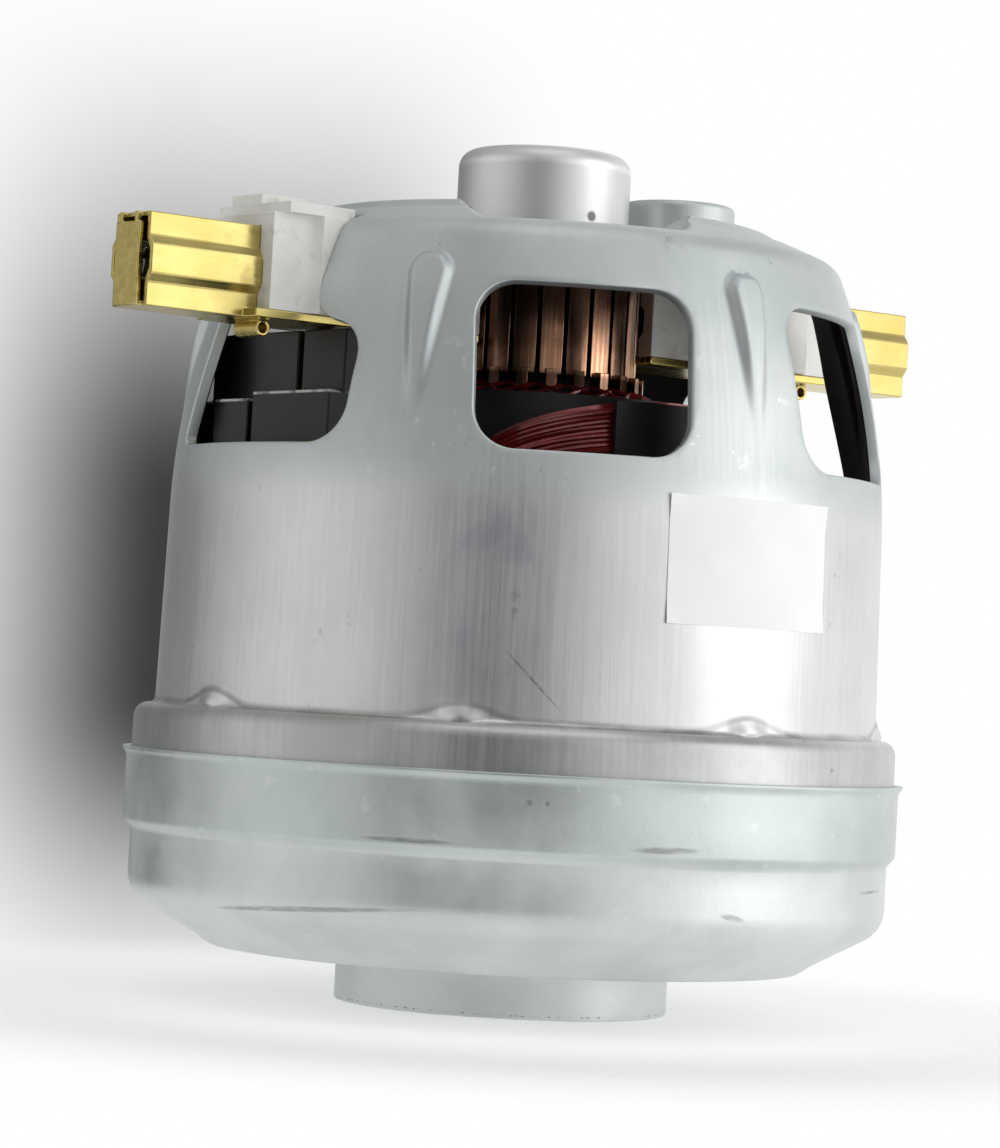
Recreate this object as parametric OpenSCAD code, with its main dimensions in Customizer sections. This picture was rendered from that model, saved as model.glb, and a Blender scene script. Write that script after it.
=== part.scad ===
// Through-flow vacuum motor unit: a drawn aluminium motor housing closed by a pressed fan cover,
// with a two-pole brushed motor, its brush gear, two ball bearings and a single-stage fan.
// The shaft lies along Z, the brushes along X, and the fan cover's inlet neck stands on z = 0.

/* [Fan cover] */
// Outer radius of the inlet neck
neck_r = 21.95; // [21:0.05:24]
// Height of the inlet neck
neck_h = 6.6; // [5:0.1:9]
// Thickness of the cover's sheet
cover_t = 0.6; // [0.5:0.05:0.7]
// Outer radius of the band round the fan
fan_band_r = 49.9; // [49.5:0.1:52]
// Height of the fan chamber, from the floor to the ledge
chamber_h = 15.6; // [15:0.1:18]
// Width of the ledge that carries the diffuser
ledge_w = 1.05; // [0.9:0.05:1.3]
// Height of the band above the ledge
rim_band_h = 9.6; // [8:0.1:12]
// Width of the turned-out lip
lip_w = 0.55; // [0.4:0.05:0.8]
// Radius of the corner under the fan band
corner_r = 4.5; // [3:0.1:6]
// Slope of the floor's outer cone in degrees
floor_slope = 29; // [26:1:32]
// Width of the floor outside its pressed step
floor_rim_w = 9.7; // [7.9:0.1:12]
// Height of the pressed step in the floor
floor_step_h = 0.9; // [0.6:0.1:1.2]

/* [Motor housing] */
// Thickness of the housing's sheet
sheet_t = 1.6; // [1.3:0.05:1.8]
// Height of the flange above the cover's lip
flange_h = 5.8; // [5:0.1:8]
// Radius of the flange's rounded edge
flange_round = 1.9; // [1.9:0.1:2.4]
// Outer radius of the barrel at the flange
barrel_r = 47.6; // [40:0.1:54]
// Least width of the flange round the barrel
flange_w = 2.7; // [2.6:0.05:4]
// Height of the barrel
barrel_h = 26.4; // [25:0.1:32]
// Draft of the barrel's wall in degrees
barrel_draft = 1.15; // [0.8:0.05:1.4]
// Height of the bowed crown above the barrel
crown_h = 33.6; // [33:0.1:36]
// Radius of the crown's bow
crown_bow = 90; // [85:1:110]
// Radius of the shoulder
shoulder_r = 4; // [3:0.1:5]
// Slope of the roof in degrees
roof_slope = 21; // [18:1:24]
// Width of the sloping roof round the plateau
roof_w = 4.63; // [3.8:0.01:6]
// Height of the plateau over its foot
plateau_h = 1.75; // [1.2:0.05:3.5]
// Width of the plateau's sloping edge
plateau_edge_w = 3.6; // [3:0.1:6]
// Slope of the low part of the roof over the front window in degrees
low_slope = 4; // [3:0.5:5]
// Wall of the bearing cup
cup_wall = 1.95; // [1.6:0.05:2.4]
// Height of the bearing cup over the plateau
cup_h = 9.6; // [8.1:0.1:10.4]
// Radius of the bearing cup's top edge
cup_round = 2.3; // [1.5:0.1:2.6]
// Radius of the round boss beside the cup
boss_r = 7.8; // [6:0.1:8]
// Height of the round boss over the plateau
boss_h = 5.5; // [2:0.1:6.5]
// Distance of the boss from the plateau's foot
boss_in = 9.5; // [9:0.1:11.3]

/* [Windows] */
// Width of a narrow side window
window_w = 27.1; // [24:0.1:28]
// How much wider the wide side windows are
wide_by = 3.1; // [0:0.1:4]
// Height of a side window
window_h = 20.9; // [18:0.1:21]
// Height of the sills over the barrel
sill_h = 7; // [6:0.1:8]
// Corner radius of the windows
window_r = 5; // [3:0.1:6]
// Width of a brush window
brush_window_w = 33.4; // [30:0.1:34]
// Height of a brush window up to its notch
brush_window_h = 15.5; // [14:0.1:16]
// Half width of the notch on the clear side of a brush holder
clear_side = 13.6; // [12:0.1:14.5]
// Width of the notch that takes a brush holder
notch_w = 16.6; // [16:0.1:18]
// Width of a raised rib on a pillar
rib_w = 4.8; // [4:0.1:6]
// Height of a raised rib
rib_h = 20; // [16:0.1:21]
// How far a rib stands out at its top
rib_rise = 1.2; // [0.8:0.1:1.6]
// Number of corner gussets round the flange
gusset_n = 8; // [4:1:12]
// Width of a corner gusset
gusset_w = 7; // [5:0.1:9]

/* [Brush gear] */
// Height of the brush axis below the shoulder
brush_drop = 5.6; // [5.4:0.1:6]
// Width of the carbon brush
brush_w = 5.9; // [5:0.1:6.4]
// Height of the carbon brush
brush_h = 10.1; // [9:0.1:10.4]
// Length of the carbon brush
brush_l = 32; // [26:0.5:36]
// Clearance of the carbon brush in its tube, each side
brush_clear = 0.15; // [0.1:0.01:0.2]
// Gap between brush and commutator
brush_gap = 0.15; // [0.1:0.01:0.2]
// Wall of the brass tube
tube_t = 0.6; // [0.5:0.05:0.8]
// How far the tube stands out of its holder
tube_out = 16.5; // [12:0.1:22]
// Height of the bead along the tube's sides
bead_h = 4.4; // [3:0.1:5]
// How far the bead stands out
bead_d = 0.8; // [0.5:0.05:1]
// Thickness of the folded end tab
tab_t = 0.8; // [0.6:0.05:1]
// Width of the folded end tab
tab_w = 5.2; // [4.4:0.1:5.4]
// Width of the base strip under the holder
strip_w = 13; // [12:0.1:14]
// Thickness of the base strip
strip_t = 1.1; // [0.8:0.05:1.2]
// How far the base strip stands out of the holder
strip_out = 2; // [1:0.1:6]
// How far the holder stands out of the notch
holder_out = 12.5; // [10.5:0.1:14]
// Length of the holder's lip outside the notch
lip_l = 10; // [8:0.1:11]
// Thickness of the holder's lip
lip_t = 1.4; // [1:0.1:2]
// Wire of the brush spring
spring_wire = 0.7; // [0.5:0.05:0.8]
// Mean radius of the brush spring
spring_r = 2.2; // [1.8:0.05:2.4]
// Curls of the brush spring
spring_n = 11; // [8:1:12]

/* [Stator] */
// Height of the stator stack
stack_h = 24; // [20:0.5:25]
// Height of the stack's top over the barrel
stack_rise = 3; // [1:0.1:4]
// Clearance of the stack in the housing
stack_fit = 0.1; // [0.05:0.01:0.2]
// Depth of the flats on the stack's sides
flat_d = 9.3; // [6:0.1:11.5]
// Thickness of the pole tips
pole_tip_t = 4.3; // [3:0.1:4.4]
// Width of a pole
pole_w = 28; // [24:0.1:28]
// Width of the coil slots beside the pole tips
slot_side = 4.65; // [4:0.05:5.7]
// Depth of the coil slots behind the pole tips
slot_back = 6.65; // [5.6:0.05:8.7]
// Gap between the pole tips
pole_gap = 14; // [10:0.1:15]
// Depth of the field coil's outer layer behind the pole tips
coil_depth = 7.15; // [6.6:0.05:8]
// Wire of the field coil's outer layer
coil_wire = 0.75; // [0.6:0.05:0.75]
// Step from loop to loop
coil_step = 1.6; // [1.6:0.01:1.65]
// Loops in the outer layer of a field coil
coil_n = 5; // [3:1:5]
// Half angle of the innermost loop in degrees
coil_angle = 42.2; // [41:0.1:43]
// Rise of the innermost loop over the stack
coil_rise = 4.1; // [4:0.1:4.4]
// Half angle of the opening in a field coil in degrees
core_angle = 38; // [37:0.5:40]
// Height of the opening in a field coil over the stack
core_rise = 1.3; // [1.2:0.1:1.6]
// Height of the bobbin's walls over the stack
bobbin_h = 12.5; // [12:0.1:12.6]
// Thickness of the bobbin's walls
bobbin_t = 0.9; // [0.7:0.05:1]
// Half angle of the bobbin's outer tab in degrees
bobbin_tab = 20.5; // [14:0.5:24]

/* [Rotor] */
// Radius of the armature
arm_r = 19.6; // [18.5:0.1:20]
// Height of the armature's stack
arm_h = 25; // [20:0.5:26]
// Gap between armature and poles
air_gap = 0.45; // [0.4:0.05:0.8]
// Slots in the armature
arm_slots = 12; // [8:1:14]
// Radius of the commutator
comm_r = 13.5; // [12:0.1:13.8]
// Bars of the commutator
comm_n = 24; // [16:2:28]
// Height of the commutator's bars
comm_h = 16.2; // [16:0.1:18]
// Gap between the commutator's bars
comm_gap = 0.6; // [0.4:0.05:0.8]
// Radius of the shaft
shaft_r = 4; // [4:0.1:4.2]
// Radius of the shaft's seat in the upper bearing
seat_r = 3.5; // [3.3:0.05:3.6]
// Fit of a bore on the shaft
shaft_fit = 0.01; // [0.005:0.005:0.03]

/* [Bearings] */
// Outer diameter of the upper bearing
upper_d = 19; // [18.8:0.1:19.4]
// Width of the upper bearing
upper_w = 6; // [5.8:0.1:6.2]
// Outer diameter of the lower bearing
lower_d = 22; // [21.8:0.1:22.6]
// Width of the lower bearing
lower_w = 7; // [6.8:0.1:7.4]
// Balls in each bearing
ball_n = 7; // [5:1:7]
// Clearance of the balls in their races
ball_clear = 0.04; // [0.03:0.01:0.06]
// Fit of a bearing in its seat
bearing_fit = 0.01; // [0.005:0.005:0.03]
// Height of the preload washer
washer_h = 0.6; // [0.5:0.05:0.7]

/* [Fan] */
// Gap between the impeller's edge and the fan band
fan_side_gap = 3.8; // [3.3:0.1:7.4]
// Radius of the impeller's eye
eye_r = 18; // [16:0.1:18.4]
// Thickness of the impeller's plates
fan_t = 0.8; // [0.6:0.05:1]
// Height of the impeller's blades
blade_h = 7; // [6:0.1:7.6]
// Blades of the impeller
blade_n = 9; // [6:1:11]
// Thickness of a blade
blade_t = 0.8; // [0.6:0.05:1]
// Gap between impeller and diffuser
fan_gap = 1.4; // [1.2:0.1:2]
// Thickness of the diffuser's plate
diffuser_t = 1.6; // [1.2:0.1:1.8]
// Vanes of the diffuser
vane_n = 12; // [8:1:15]
// Height of the diffuser's return vanes
vane_h = 4.4; // [3.5:0.1:4.6]
// Thickness of the bearing bracket's plate
bracket_t = 2; // [1.5:0.1:2.2]

/* [Label] */
// Width of the label
label_w = 25.5; // [20:0.1:30]
// Height of the label
label_h = 15.9; // [12:0.1:18]
// Thickness of the label
label_t = 0.15; // [0.1:0.01:0.2]

/* [Hidden] */
$fn = 96;
eps = 0.01;

// Clearances that several pieces share
cover_fit = 0.05;
seat_fit = 0.05;
notch_fit = 0.15;

// Levels of the fan cover, from the neck upwards
ledge_z = neck_h + chamber_h;
lip_z = ledge_z + rim_band_h;
rim_r = max(fan_band_r + ledge_w, barrel_r + flange_w + cover_fit + cover_t);
lip_r = rim_r + lip_w;
floor_step_r = fan_band_r - floor_rim_w;
fan_r = fan_band_r - cover_t - fan_side_gap;

// Levels of the housing
flange_z = lip_z + flange_h;
crown_z = flange_z + barrel_h;
shoulder_z = crown_z + crown_h;
flange_r = rim_r - cover_t - cover_fit;
flange_fillet = 0.8;
function bow(z) = z > crown_z ? pow(z - crown_z, 2) / (2 * crown_bow) : 0;
function wall_r(z) = barrel_r - (z - flange_z) * tan(barrel_draft) - bow(z);
shoulder_lean = atan(tan(barrel_draft) + crown_h / crown_bow);
shoulder_cr = wall_r(shoulder_z) - shoulder_r * cos(shoulder_lean);
shoulder_cz = shoulder_z - shoulder_r * sin(shoulder_lean);
roof_r = shoulder_cr + shoulder_r * sin(roof_slope);
roof_z = shoulder_cz + shoulder_r * cos(roof_slope);
plateau_r = roof_r - roof_w;
boss_x = plateau_r - boss_in;
foot_z = roof_z + roof_w * tan(roof_slope);
crest_z = foot_z + plateau_h;
cup_r = upper_d / 2 + bearing_fit + cup_wall;
cup_z = crest_z + cup_h;
cup_cap_t = sheet_t;
groove_w = 1.2;
groove_d = 1.2;
crest_r = 18;
low_r = shoulder_cr + shoulder_r * sin(low_slope);
low_z = shoulder_cz + shoulder_r * cos(low_slope);
low_phi = 240;
low_side_lean = 0.38;

// Levels of the diffuser and the bearing bracket
diffuser_z = ledge_z - 0.6;
diffuser_rim_t = 1.6;
skirt_z = ledge_z + diffuser_rim_t;
bracket_rim_r = flange_r - sheet_t - seat_fit;
bracket_rim_w = 1.75;
bracket_top = flange_z - sheet_t;
bracket_z = diffuser_z + diffuser_t + vane_h + 0.6;
lower_z = bracket_z - 1.2;
bracket_cup_w = 1.8;
bracket_lip_t = 1.6;
bracket_hole_r = 7.5;

// Levels of the stator and the rotor
stack_top = crown_z + stack_rise;
stack_bot = stack_top - stack_h;
stack_mid = (stack_top + stack_bot) / 2;
stack_r = wall_r(stack_top) - sheet_t - stack_fit;
bore_r = arm_r + air_gap;
tip_r = bore_r + pole_tip_t;
coil_r = tip_r + coil_depth;
slot_x = tip_r + slot_side;
slot_y = tip_r + slot_back;
stack_flat = stack_r - flat_d;
yoke_w = 2.5;
screw_in = 5.1;
screw_y = stack_r - screw_in;
screw_r = 2;
screw_head_r = 3.4;
screw_head_h = 2.2;
post_r = 3.4;
bobbin_r = tip_r + 0.2;
bobbin_arc = coil_angle + coil_n * coil_step / coil_r * 180 / PI + 1;
coil_core_in = bobbin_r + bobbin_t + 0.3;
coil_core_out = coil_r - coil_wire / 2 - 0.6;
bobbin_tab_r = coil_r + coil_wire / 2 + 0.6;
tab_down = 1;

// Levels of the brush gear
brush_z = shoulder_z - brush_drop;
tube_w = brush_w + 2 * brush_clear + 2 * tube_t;
tube_h = brush_h + 2 * brush_clear + 2 * tube_t;
tube_bot = brush_z - tube_h / 2;
tube_top = brush_z + tube_h / 2;
tube_in = comm_r + 2;
strip_in = comm_r + 1.2;
strip_top = tube_bot + strip_t;
holder_in = strip_in;
holder_top = tube_top + 0.4;
notch_depth = 0.9;
notch_in = shoulder_cr - notch_depth;
holder_end = notch_in + holder_out;
strip_end = holder_end + strip_out;
tube_end = holder_end + tube_out;
brush_back = comm_r + brush_gap + brush_l;
sill_z = crown_z + sill_h;

// Levels of the commutator, the shaft and the upper bearing
comm_top = brush_z + brush_h / 2 + 2;
comm_bot = comm_top - comm_h;
hook_h = 2.1;
hook_w = 1.1;
hub_down = 1.5;
hub_up = 0.5;
bar_in = comm_r - 4.3;
upper_top = cup_z - cup_cap_t - washer_h - 0.05;
upper_bot = upper_top - upper_w;
arm_bot = stack_mid - arm_h / 2;
arm_top = stack_mid + arm_h / 2;
end_disc_t = 0.8;
wind_r = arm_r - 1.2;
wind_in = 8.8;
wind_up = comm_bot - hook_h - arm_top - 1.9;
wind_down = arm_bot - lower_z - lower_w - 1.5;

// Levels of the fan
back_z = diffuser_z - fan_gap - fan_t;
front_z = back_z - blade_h - fan_t;
nut_h = 5.8;
nut_af = 13;
fan_washer_t = 1.4;
fan_washer_r = 9.5;
washer_z = back_z - fan_washer_t;
nut_z = washer_z - nut_h;
shaft_bot = nut_z - 1.2;
seal_z = neck_h + cover_t;
seal_h = 1.6;
seal_gap = 0.6;
seal_w = 4.4;

// Points of an arc round a centre, from angle a to angle b
function arc(cx, cy, r, a, b, n) = [for (i = [0:n]) let (t = a + (b - a) * i / n) [cx + r * cos(t), cy + r * sin(t)]];

// Outline of a rectangle with rounded corners, centred in x, from y = y0 upwards
function rounded(w, y0, h, r) = concat(
  arc(w / 2 - r, y0 + r, r, -90, 0, 6),
  arc(w / 2 - r, y0 + h - r, r, 0, 90, 6),
  arc(r - w / 2, y0 + h - r, r, 90, 180, 6),
  arc(r - w / 2, y0 + r, r, 180, 270, 6)
);

// Draws a flat outline upright at angle phi, y upwards, and pushes it out from radius a to radius b
module radial(phi, a, b) {
  rotate([0, 0, phi])
    translate([a, 0, 0])
      rotate([90, 0, 90])
        linear_extrude(b - a)
          children();
}

// A ring, or a sector of one, from radius a to radius b
module ring(a, b, z, h) {
  translate([0, 0, z])
    rotate_extrude()
      translate([a, 0])
        square([b - a, h]);
}
module sector(a, b, z, h, from, to) {
  rotate([0, 0, from])
    translate([0, 0, z])
      rotate_extrude(angle = to - from)
        translate([a, 0])
          square([b - a, h]);
}

// Brush gear is drawn on the +X side; the left set is the same one turned half a turn
module on_side(side) {
  rotate([0, 0, side > 0 ? 0 : 180])
    children();
}

// Fan cover

// Outline of the cover's outside (t = 0) or inside (t = sheet), from the neck to the lip
function cover_line(t) = let (
  step_z = neck_h + floor_step_h + t / cos(floor_slope),
  bend_r = fan_band_r - corner_r * (1 - cos(90 - floor_slope)),
  bend_z = step_z + (bend_r - floor_step_r) * tan(floor_slope) - t / cos(floor_slope),
  centre_z = bend_z + corner_r * sin(90 - floor_slope)
) concat(
  [[neck_r - t, t > 0 ? -1 : 0], [neck_r - t, neck_h + t]],
  [[floor_step_r - floor_step_h, neck_h + t], [floor_step_r, step_z]],
  arc(fan_band_r - corner_r, centre_z, corner_r - t, floor_slope - 90, 0, 8)
);

module fan_cover() {
  outer = concat(
    [[0, 0]],
    cover_line(0),
    [[fan_band_r, ledge_z - 0.9]],
    rim_r - ledge_w > fan_band_r + eps ? [[rim_r - ledge_w, ledge_z - 0.9]] : [],
    [[rim_r, ledge_z + 0.3], [rim_r, lip_z - 1.2]],
    [[rim_r + lip_w / 3, lip_z - 0.6], [lip_r, lip_z - 0.35], [lip_r, lip_z], [0, lip_z]]
  );
  inner = concat(
    [[0, -1]],
    cover_line(cover_t),
    [[fan_band_r - cover_t, ledge_z], [rim_r - cover_t, ledge_z], [rim_r - cover_t, lip_z + 1]],
    [[0, lip_z + 1]]
  );
  color("#aebab5")
    difference() {
      rotate_extrude() polygon(outer);
      rotate_extrude() polygon(inner);
    }
}

// Motor housing

// Outline of the crown, shoulder and roof, drawn inwards by t
function crown_line(t) = concat(
  [for (i = [0:8]) let (z = crown_z + crown_h * i / 8) [wall_r(z) - t / cos(shoulder_lean * i / 8), z - t * sin(shoulder_lean * i / 8)]],
  arc(shoulder_cr, shoulder_cz, shoulder_r - t, shoulder_lean + 8, 90 - roof_slope, 5)
);
// Outline of the plateau from its foot to the groove round the cup
function plateau_line(t) = concat(
  [for (i = [0:6]) let (u = i / 6) [plateau_r - u * plateau_edge_w, foot_z - t + plateau_h * 0.84 * u * u * (3 - 2 * u)]],
  [[crest_r, crest_z - t], [cup_r + groove_w * 2.4, crest_z - groove_d * 0.3 - t]],
  [[cup_r + groove_w, crest_z - groove_d - t]]
);

// Outline of the low part of the roof, from the shoulder in to radius r, drawn inwards by t
function low_line(t, r) = concat(
  arc(shoulder_cr, shoulder_cz, shoulder_r - t, 90 - roof_slope, 90 - low_slope, 3),
  [[r, low_z - t + (low_r - r) * tan(low_slope)]]
);
// Space over the front window in which the roof is low, with leaning sides, grown by g
module low_space(g) {
  half = window_w / 2 - 0.9 + g;
  drop = roof_z - shoulder_cz;
  rise = cup_z + 1 - roof_z;
  radial(low_phi, cup_r / 2, barrel_r)
    polygon([
      [-half + drop * low_side_lean, shoulder_cz], [half - drop * low_side_lean, shoulder_cz],
      [half + rise * low_side_lean, cup_z + 1], [-half - rise * low_side_lean, cup_z + 1]
    ]);
}
// Sheet of the low part with the walls at its sides
module low_sheet() {
  high = plateau_line(0);
  intersection() {
    rotate_extrude()
      polygon(concat(
        low_line(sheet_t, cup_r - cup_wall),
        [[cup_r - cup_wall, crest_z - groove_d], [cup_r, crest_z - groove_d]],
        [for (i = [len(high) - 1:-1:0]) high[i]],
        [[roof_r, roof_z]]
      ));
    low_space(sheet_t);
  }
}
// Room over the low part, outside the groove round the cup
module low_room() {
  intersection() {
    rotate_extrude()
      polygon(concat(
        low_line(0, cup_r + groove_w),
        [[cup_r + groove_w, cup_z + 1], [roof_r, cup_z + 1]]
      ));
    low_space(0);
  }
}

module housing_shell() {
  outer = concat(
    [[0, skirt_z], [flange_r, skirt_z]],
    arc(flange_r - flange_round, flange_z - flange_round, flange_round, 0, 90, 5),
    arc(wall_r(flange_z) + flange_fillet, flange_z + flange_fillet, flange_fillet, 270, 180, 4),
    crown_line(0),
    plateau_line(0),
    [[cup_r, crest_z - groove_d]],
    arc(cup_r - cup_round, cup_z - cup_round, cup_round, 0, 90, 6),
    [[0, cup_z]]
  );
  inner = concat(
    [[0, skirt_z - 1], [flange_r - sheet_t, skirt_z - 1], [flange_r - sheet_t, flange_z - sheet_t]],
    [[wall_r(flange_z) - sheet_t, flange_z - sheet_t]],
    crown_line(sheet_t),
    plateau_line(sheet_t),
    [[cup_r - cup_wall, crest_z - groove_d - sheet_t], [cup_r - cup_wall, cup_z - cup_cap_t]],
    [[0, cup_z - cup_cap_t]]
  );
  boss_round = 0.8;
  difference() {
    union() {
      rotate_extrude() polygon(outer);
      translate([boss_x, 0, 0])
        rotate_extrude()
          polygon(concat(
            [[0, foot_z - sheet_t], [boss_r, foot_z - sheet_t]],
            arc(boss_r - boss_round, crest_z + boss_h - boss_round, boss_round, 0, 90, 4),
            [[0, crest_z + boss_h]]
          ));
    }
    rotate_extrude() polygon(inner);
  }
}

// Outline of a brush window with the notch above it: filleted on one side, clear of the holder on the other
module brush_opening() {
  top = sill_z + brush_window_h;
  fillet = 4.5;
  foot_w = brush_window_w / 2 + 0.7;
  polygon(concat(
    arc(brush_window_w / 2 - window_r, sill_z + window_r, window_r, -90, 0, 6),
    arc(brush_window_w / 2 - window_r, top - window_r, window_r, 0, 70, 5),
    arc(notch_w / 2 + fillet, top + fillet, fillet, 250, 180, 5),
    [[notch_w / 2, cup_z], [-notch_w / 2, cup_z]],
    [[-notch_w / 2, top + 11.8], [-clear_side, top + 9], [-clear_side, top + 1]],
    [for (i = [1:6]) let (u = i / 6) [-clear_side - (foot_w - clear_side) * pow(u, 1.5), top + 1 - (brush_window_h - 0.2) * u]],
    [[0.7 - foot_w, sill_z]]
  ));
}

// Raised rib on a pillar: wide and proud at its round top, fading into the wall at its narrow foot
module rib(phi) {
  rib_z = sill_z + 4;
  rib_top = rib_z + rib_h;
  foot_w = 1.2;
  shy = 0.8;
  intersection() {
    rotate_extrude()
      polygon([
        [wall_r(rib_z) - shy, rib_z], [wall_r(rib_z), rib_z], [wall_r(rib_top - 4) + rib_rise, rib_top - 4],
        [wall_r(rib_top - 1) + rib_rise * 0.7, rib_top - 1], [wall_r(rib_top) - shy, rib_top]
      ]);
    radial(phi, barrel_r / 2, barrel_r + 5)
      polygon(concat([[-foot_w / 2, rib_z], [foot_w / 2, rib_z]], arc(0, rib_top - rib_w / 2, rib_w / 2, -5, 185, 9)));
  }
}

// Corner gusset pressed into the angle between flange and barrel
module gusset(phi) {
  rise = 2.4;
  intersection() {
    rotate_extrude()
      polygon([
        [wall_r(flange_z) - 0.8, flange_z - 0.5], [flange_r - 1.4, flange_z - 0.5], [flange_r - 1.4, flange_z - 0.1],
        [wall_r(flange_z + rise), flange_z + rise], [wall_r(flange_z) - 0.8, flange_z + rise]
      ]);
    radial(phi, barrel_r / 2, barrel_r + 5)
      polygon(concat(
        [[-gusset_w / 2, flange_z - 0.5], [gusset_w / 2, flange_z - 0.5]],
        [for (i = [4:-1:-4]) [gusset_w / 2 * i / 4.5, flange_z + rise * pow(cos(20 * i), 2)]]
      ));
  }
}

module motor_housing() {
  gusset_from = 43;
  rib_at = [32.5, 88.5, 147.5, 212.5, 268.5, 327.5];
  window_shift = 0.6;
  mark_from = -5;
  mark_r = 0.75;
  mark_up = 0.6;
  color("#b9bfc2")
    difference() {
      union() {
        housing_shell();
        low_sheet();
        for (phi = rib_at) rib(phi);
        for (k = [0:gusset_n - 1]) gusset(gusset_from + 360 / gusset_n * k);
      }
      low_room();
      for (phi = [60, 240])
        radial(phi, notch_in, barrel_r + 5)
          translate([-window_shift, 0]) polygon(rounded(window_w, sill_z, window_h, window_r));
      for (phi = [120, 300])
        radial(phi, notch_in, barrel_r + 5)
          translate([-wide_by / 2 - 0.15, 0]) polygon(rounded(window_w + wide_by, sill_z, window_h, window_r));
      for (phi = [0, 180])
        radial(phi, notch_in, barrel_r + 5) brush_opening();
      for (k = [0:3])
        radial(mark_from + 90 * k, cup_r - 0.9, cup_r + 2) translate([0, crest_z + mark_up]) circle(r = mark_r, $fn = 24);
    }
}

// Bare paper label stuck on the barrel
module label() {
  turn = -91.7;
  half = label_w / wall_r(crown_z) * 90 / PI;
  base = crown_z - 13.1;
  steps = [for (i = [0:6]) base + label_h * i / 6];
  color("white")
    rotate([0, 0, turn - half])
      rotate_extrude(angle = 2 * half)
        polygon(concat(
          [for (z = steps) [wall_r(z) + eps, z]],
          [for (i = [6:-1:0]) [wall_r(steps[i]) + eps + label_t, steps[i]]]
        ));
}

// Stator

module stator_core() {
  color("#6f6f72")
    translate([0, 0, stack_bot])
      linear_extrude(stack_h)
        difference() {
          intersection() {
            circle(r = stack_r);
            square([2 * stack_flat, 2 * stack_r + 2], center = true);
          }
          difference() {
            intersection() {
              square([2 * slot_x, 2 * slot_y], center = true);
              circle(r = stack_r - yoke_w);
            }
            circle(r = tip_r);
            square([pole_w, 2 * slot_y + 2], center = true);
          }
          circle(r = bore_r);
          square([2 * slot_x, pole_gap], center = true);
          for (s = [-1, 1])
            translate([0, s * screw_y])
              circle(r = screw_r + seat_fit);
        }
}

// A point on the coil's winding surface: s runs round the surface from the pole, z up from the stack's middle
function on_coil(r, s, z) = let (a = s / coil_r * 180 / PI) [r * sin(a), -r * cos(a), stack_mid + z];
// Half width and rise over the stack of the loop that lies t loops out from the innermost one
function loop_w(t) = coil_angle * PI / 180 * coil_r + t * coil_step;
function loop_up(t) = coil_rise + t * coil_step;
// Place m of the 24 round a loop: straight sides along the stack and a half ellipse over each end
function loop_place(w, up, m) = let (half = m < 12 ? 1 : -1, a = (m % 12) * 180 / 11)
  half * [w * cos(a), stack_h / 2 + up * sin(a)];
rings_per_loop = 24;
coil_path = concat(
  [on_coil(coil_core_out + eps, loop_w(0), stack_h / 2)],
  [for (i = [0:coil_n * rings_per_loop]) let (t = i / rings_per_loop,
    p = loop_place(loop_w(t), loop_up(t), i % rings_per_loop)) on_coil(coil_r, p[0], p[1])],
  [on_coil(coil_core_out + eps, loop_w(coil_n), stack_h / 2)]
);

// A tube of six sides along a list of points
function unit(v) = v / norm(v);
function heading(p, i) = unit(unit(p[min(i + 1, len(p) - 1)] - p[i] + (i == len(p) - 1 ? p[i] - p[i - 1] : [0, 0, 0]))
  + unit(p[i] - p[max(i - 1, 0)] + (i == 0 ? p[1] - p[0] : [0, 0, 0])));
function across(v, up) = unit(up - (up * v) * v);
module tube(p, r, up) {
  sides = 6;
  n = len(p);
  points = [for (i = [0:n - 1]) let (h = heading(p, i), a = across(h, up), b = cross(h, a))
    for (k = [0:sides - 1]) p[i] + r * (cos(60 * k) * a + sin(60 * k) * b)];
  faces = concat(
    [for (i = [0:n - 2]) for (k = [0:sides - 1]) let (j = (k + 1) % sides)
      each [[i * sides + k, (i + 1) * sides + k, i * sides + j], [i * sides + j, (i + 1) * sides + k, (i + 1) * sides + j]]],
    [for (k = [1:sides - 2]) each [[0, k, k + 1], [(n - 1) * sides, (n - 1) * sides + k + 1, (n - 1) * sides + k]]]
  );
  polyhedron(points, faces);
}

// Least distance between points of a path that lie more than a third of a turn apart
function self_gap(p, skip, wire) = min([for (i = [0:len(p) - 1]) for (j = [i + skip:len(p) - 1]) norm(p[i] - p[j])]) - wire;

// Plain core under the coil's outer layer, with the opening that the pole goes through
module coil_core() {
  edge = coil_wire / 2;
  hole_w = core_angle * PI / 180 * coil_r;
  function outline(w, up) = [for (m = [0:rings_per_loop - 1]) let (p = loop_place(w, up, m))
    [coil_r * sin(p[0] / coil_r * 180 / PI), stack_mid + p[1]]];
  intersection() {
    ring(coil_core_in, coil_core_out, stack_mid - stack_h, 2 * stack_h);
    translate([0, -bobbin_r / 2, 0])
      rotate([90, 0, 0])
        linear_extrude(coil_r)
          difference() {
            polygon(outline(loop_w(coil_n) + edge, loop_up(coil_n) + edge));
            polygon(outline(hole_w, core_rise));
          }
  }
}

module field_coil() {
  coil_core();
  tube(coil_path, coil_wire / 2, [0, 1, 0]);
}
module field_coil_front() {
  echo(field_coil_least_gap = self_gap(coil_path, 8, coil_wire));
  color("#7a1f1a") field_coil();
}
module field_coil_rear() {
  color("#7a1f1a") rotate([0, 0, 180]) field_coil();
}

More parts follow.
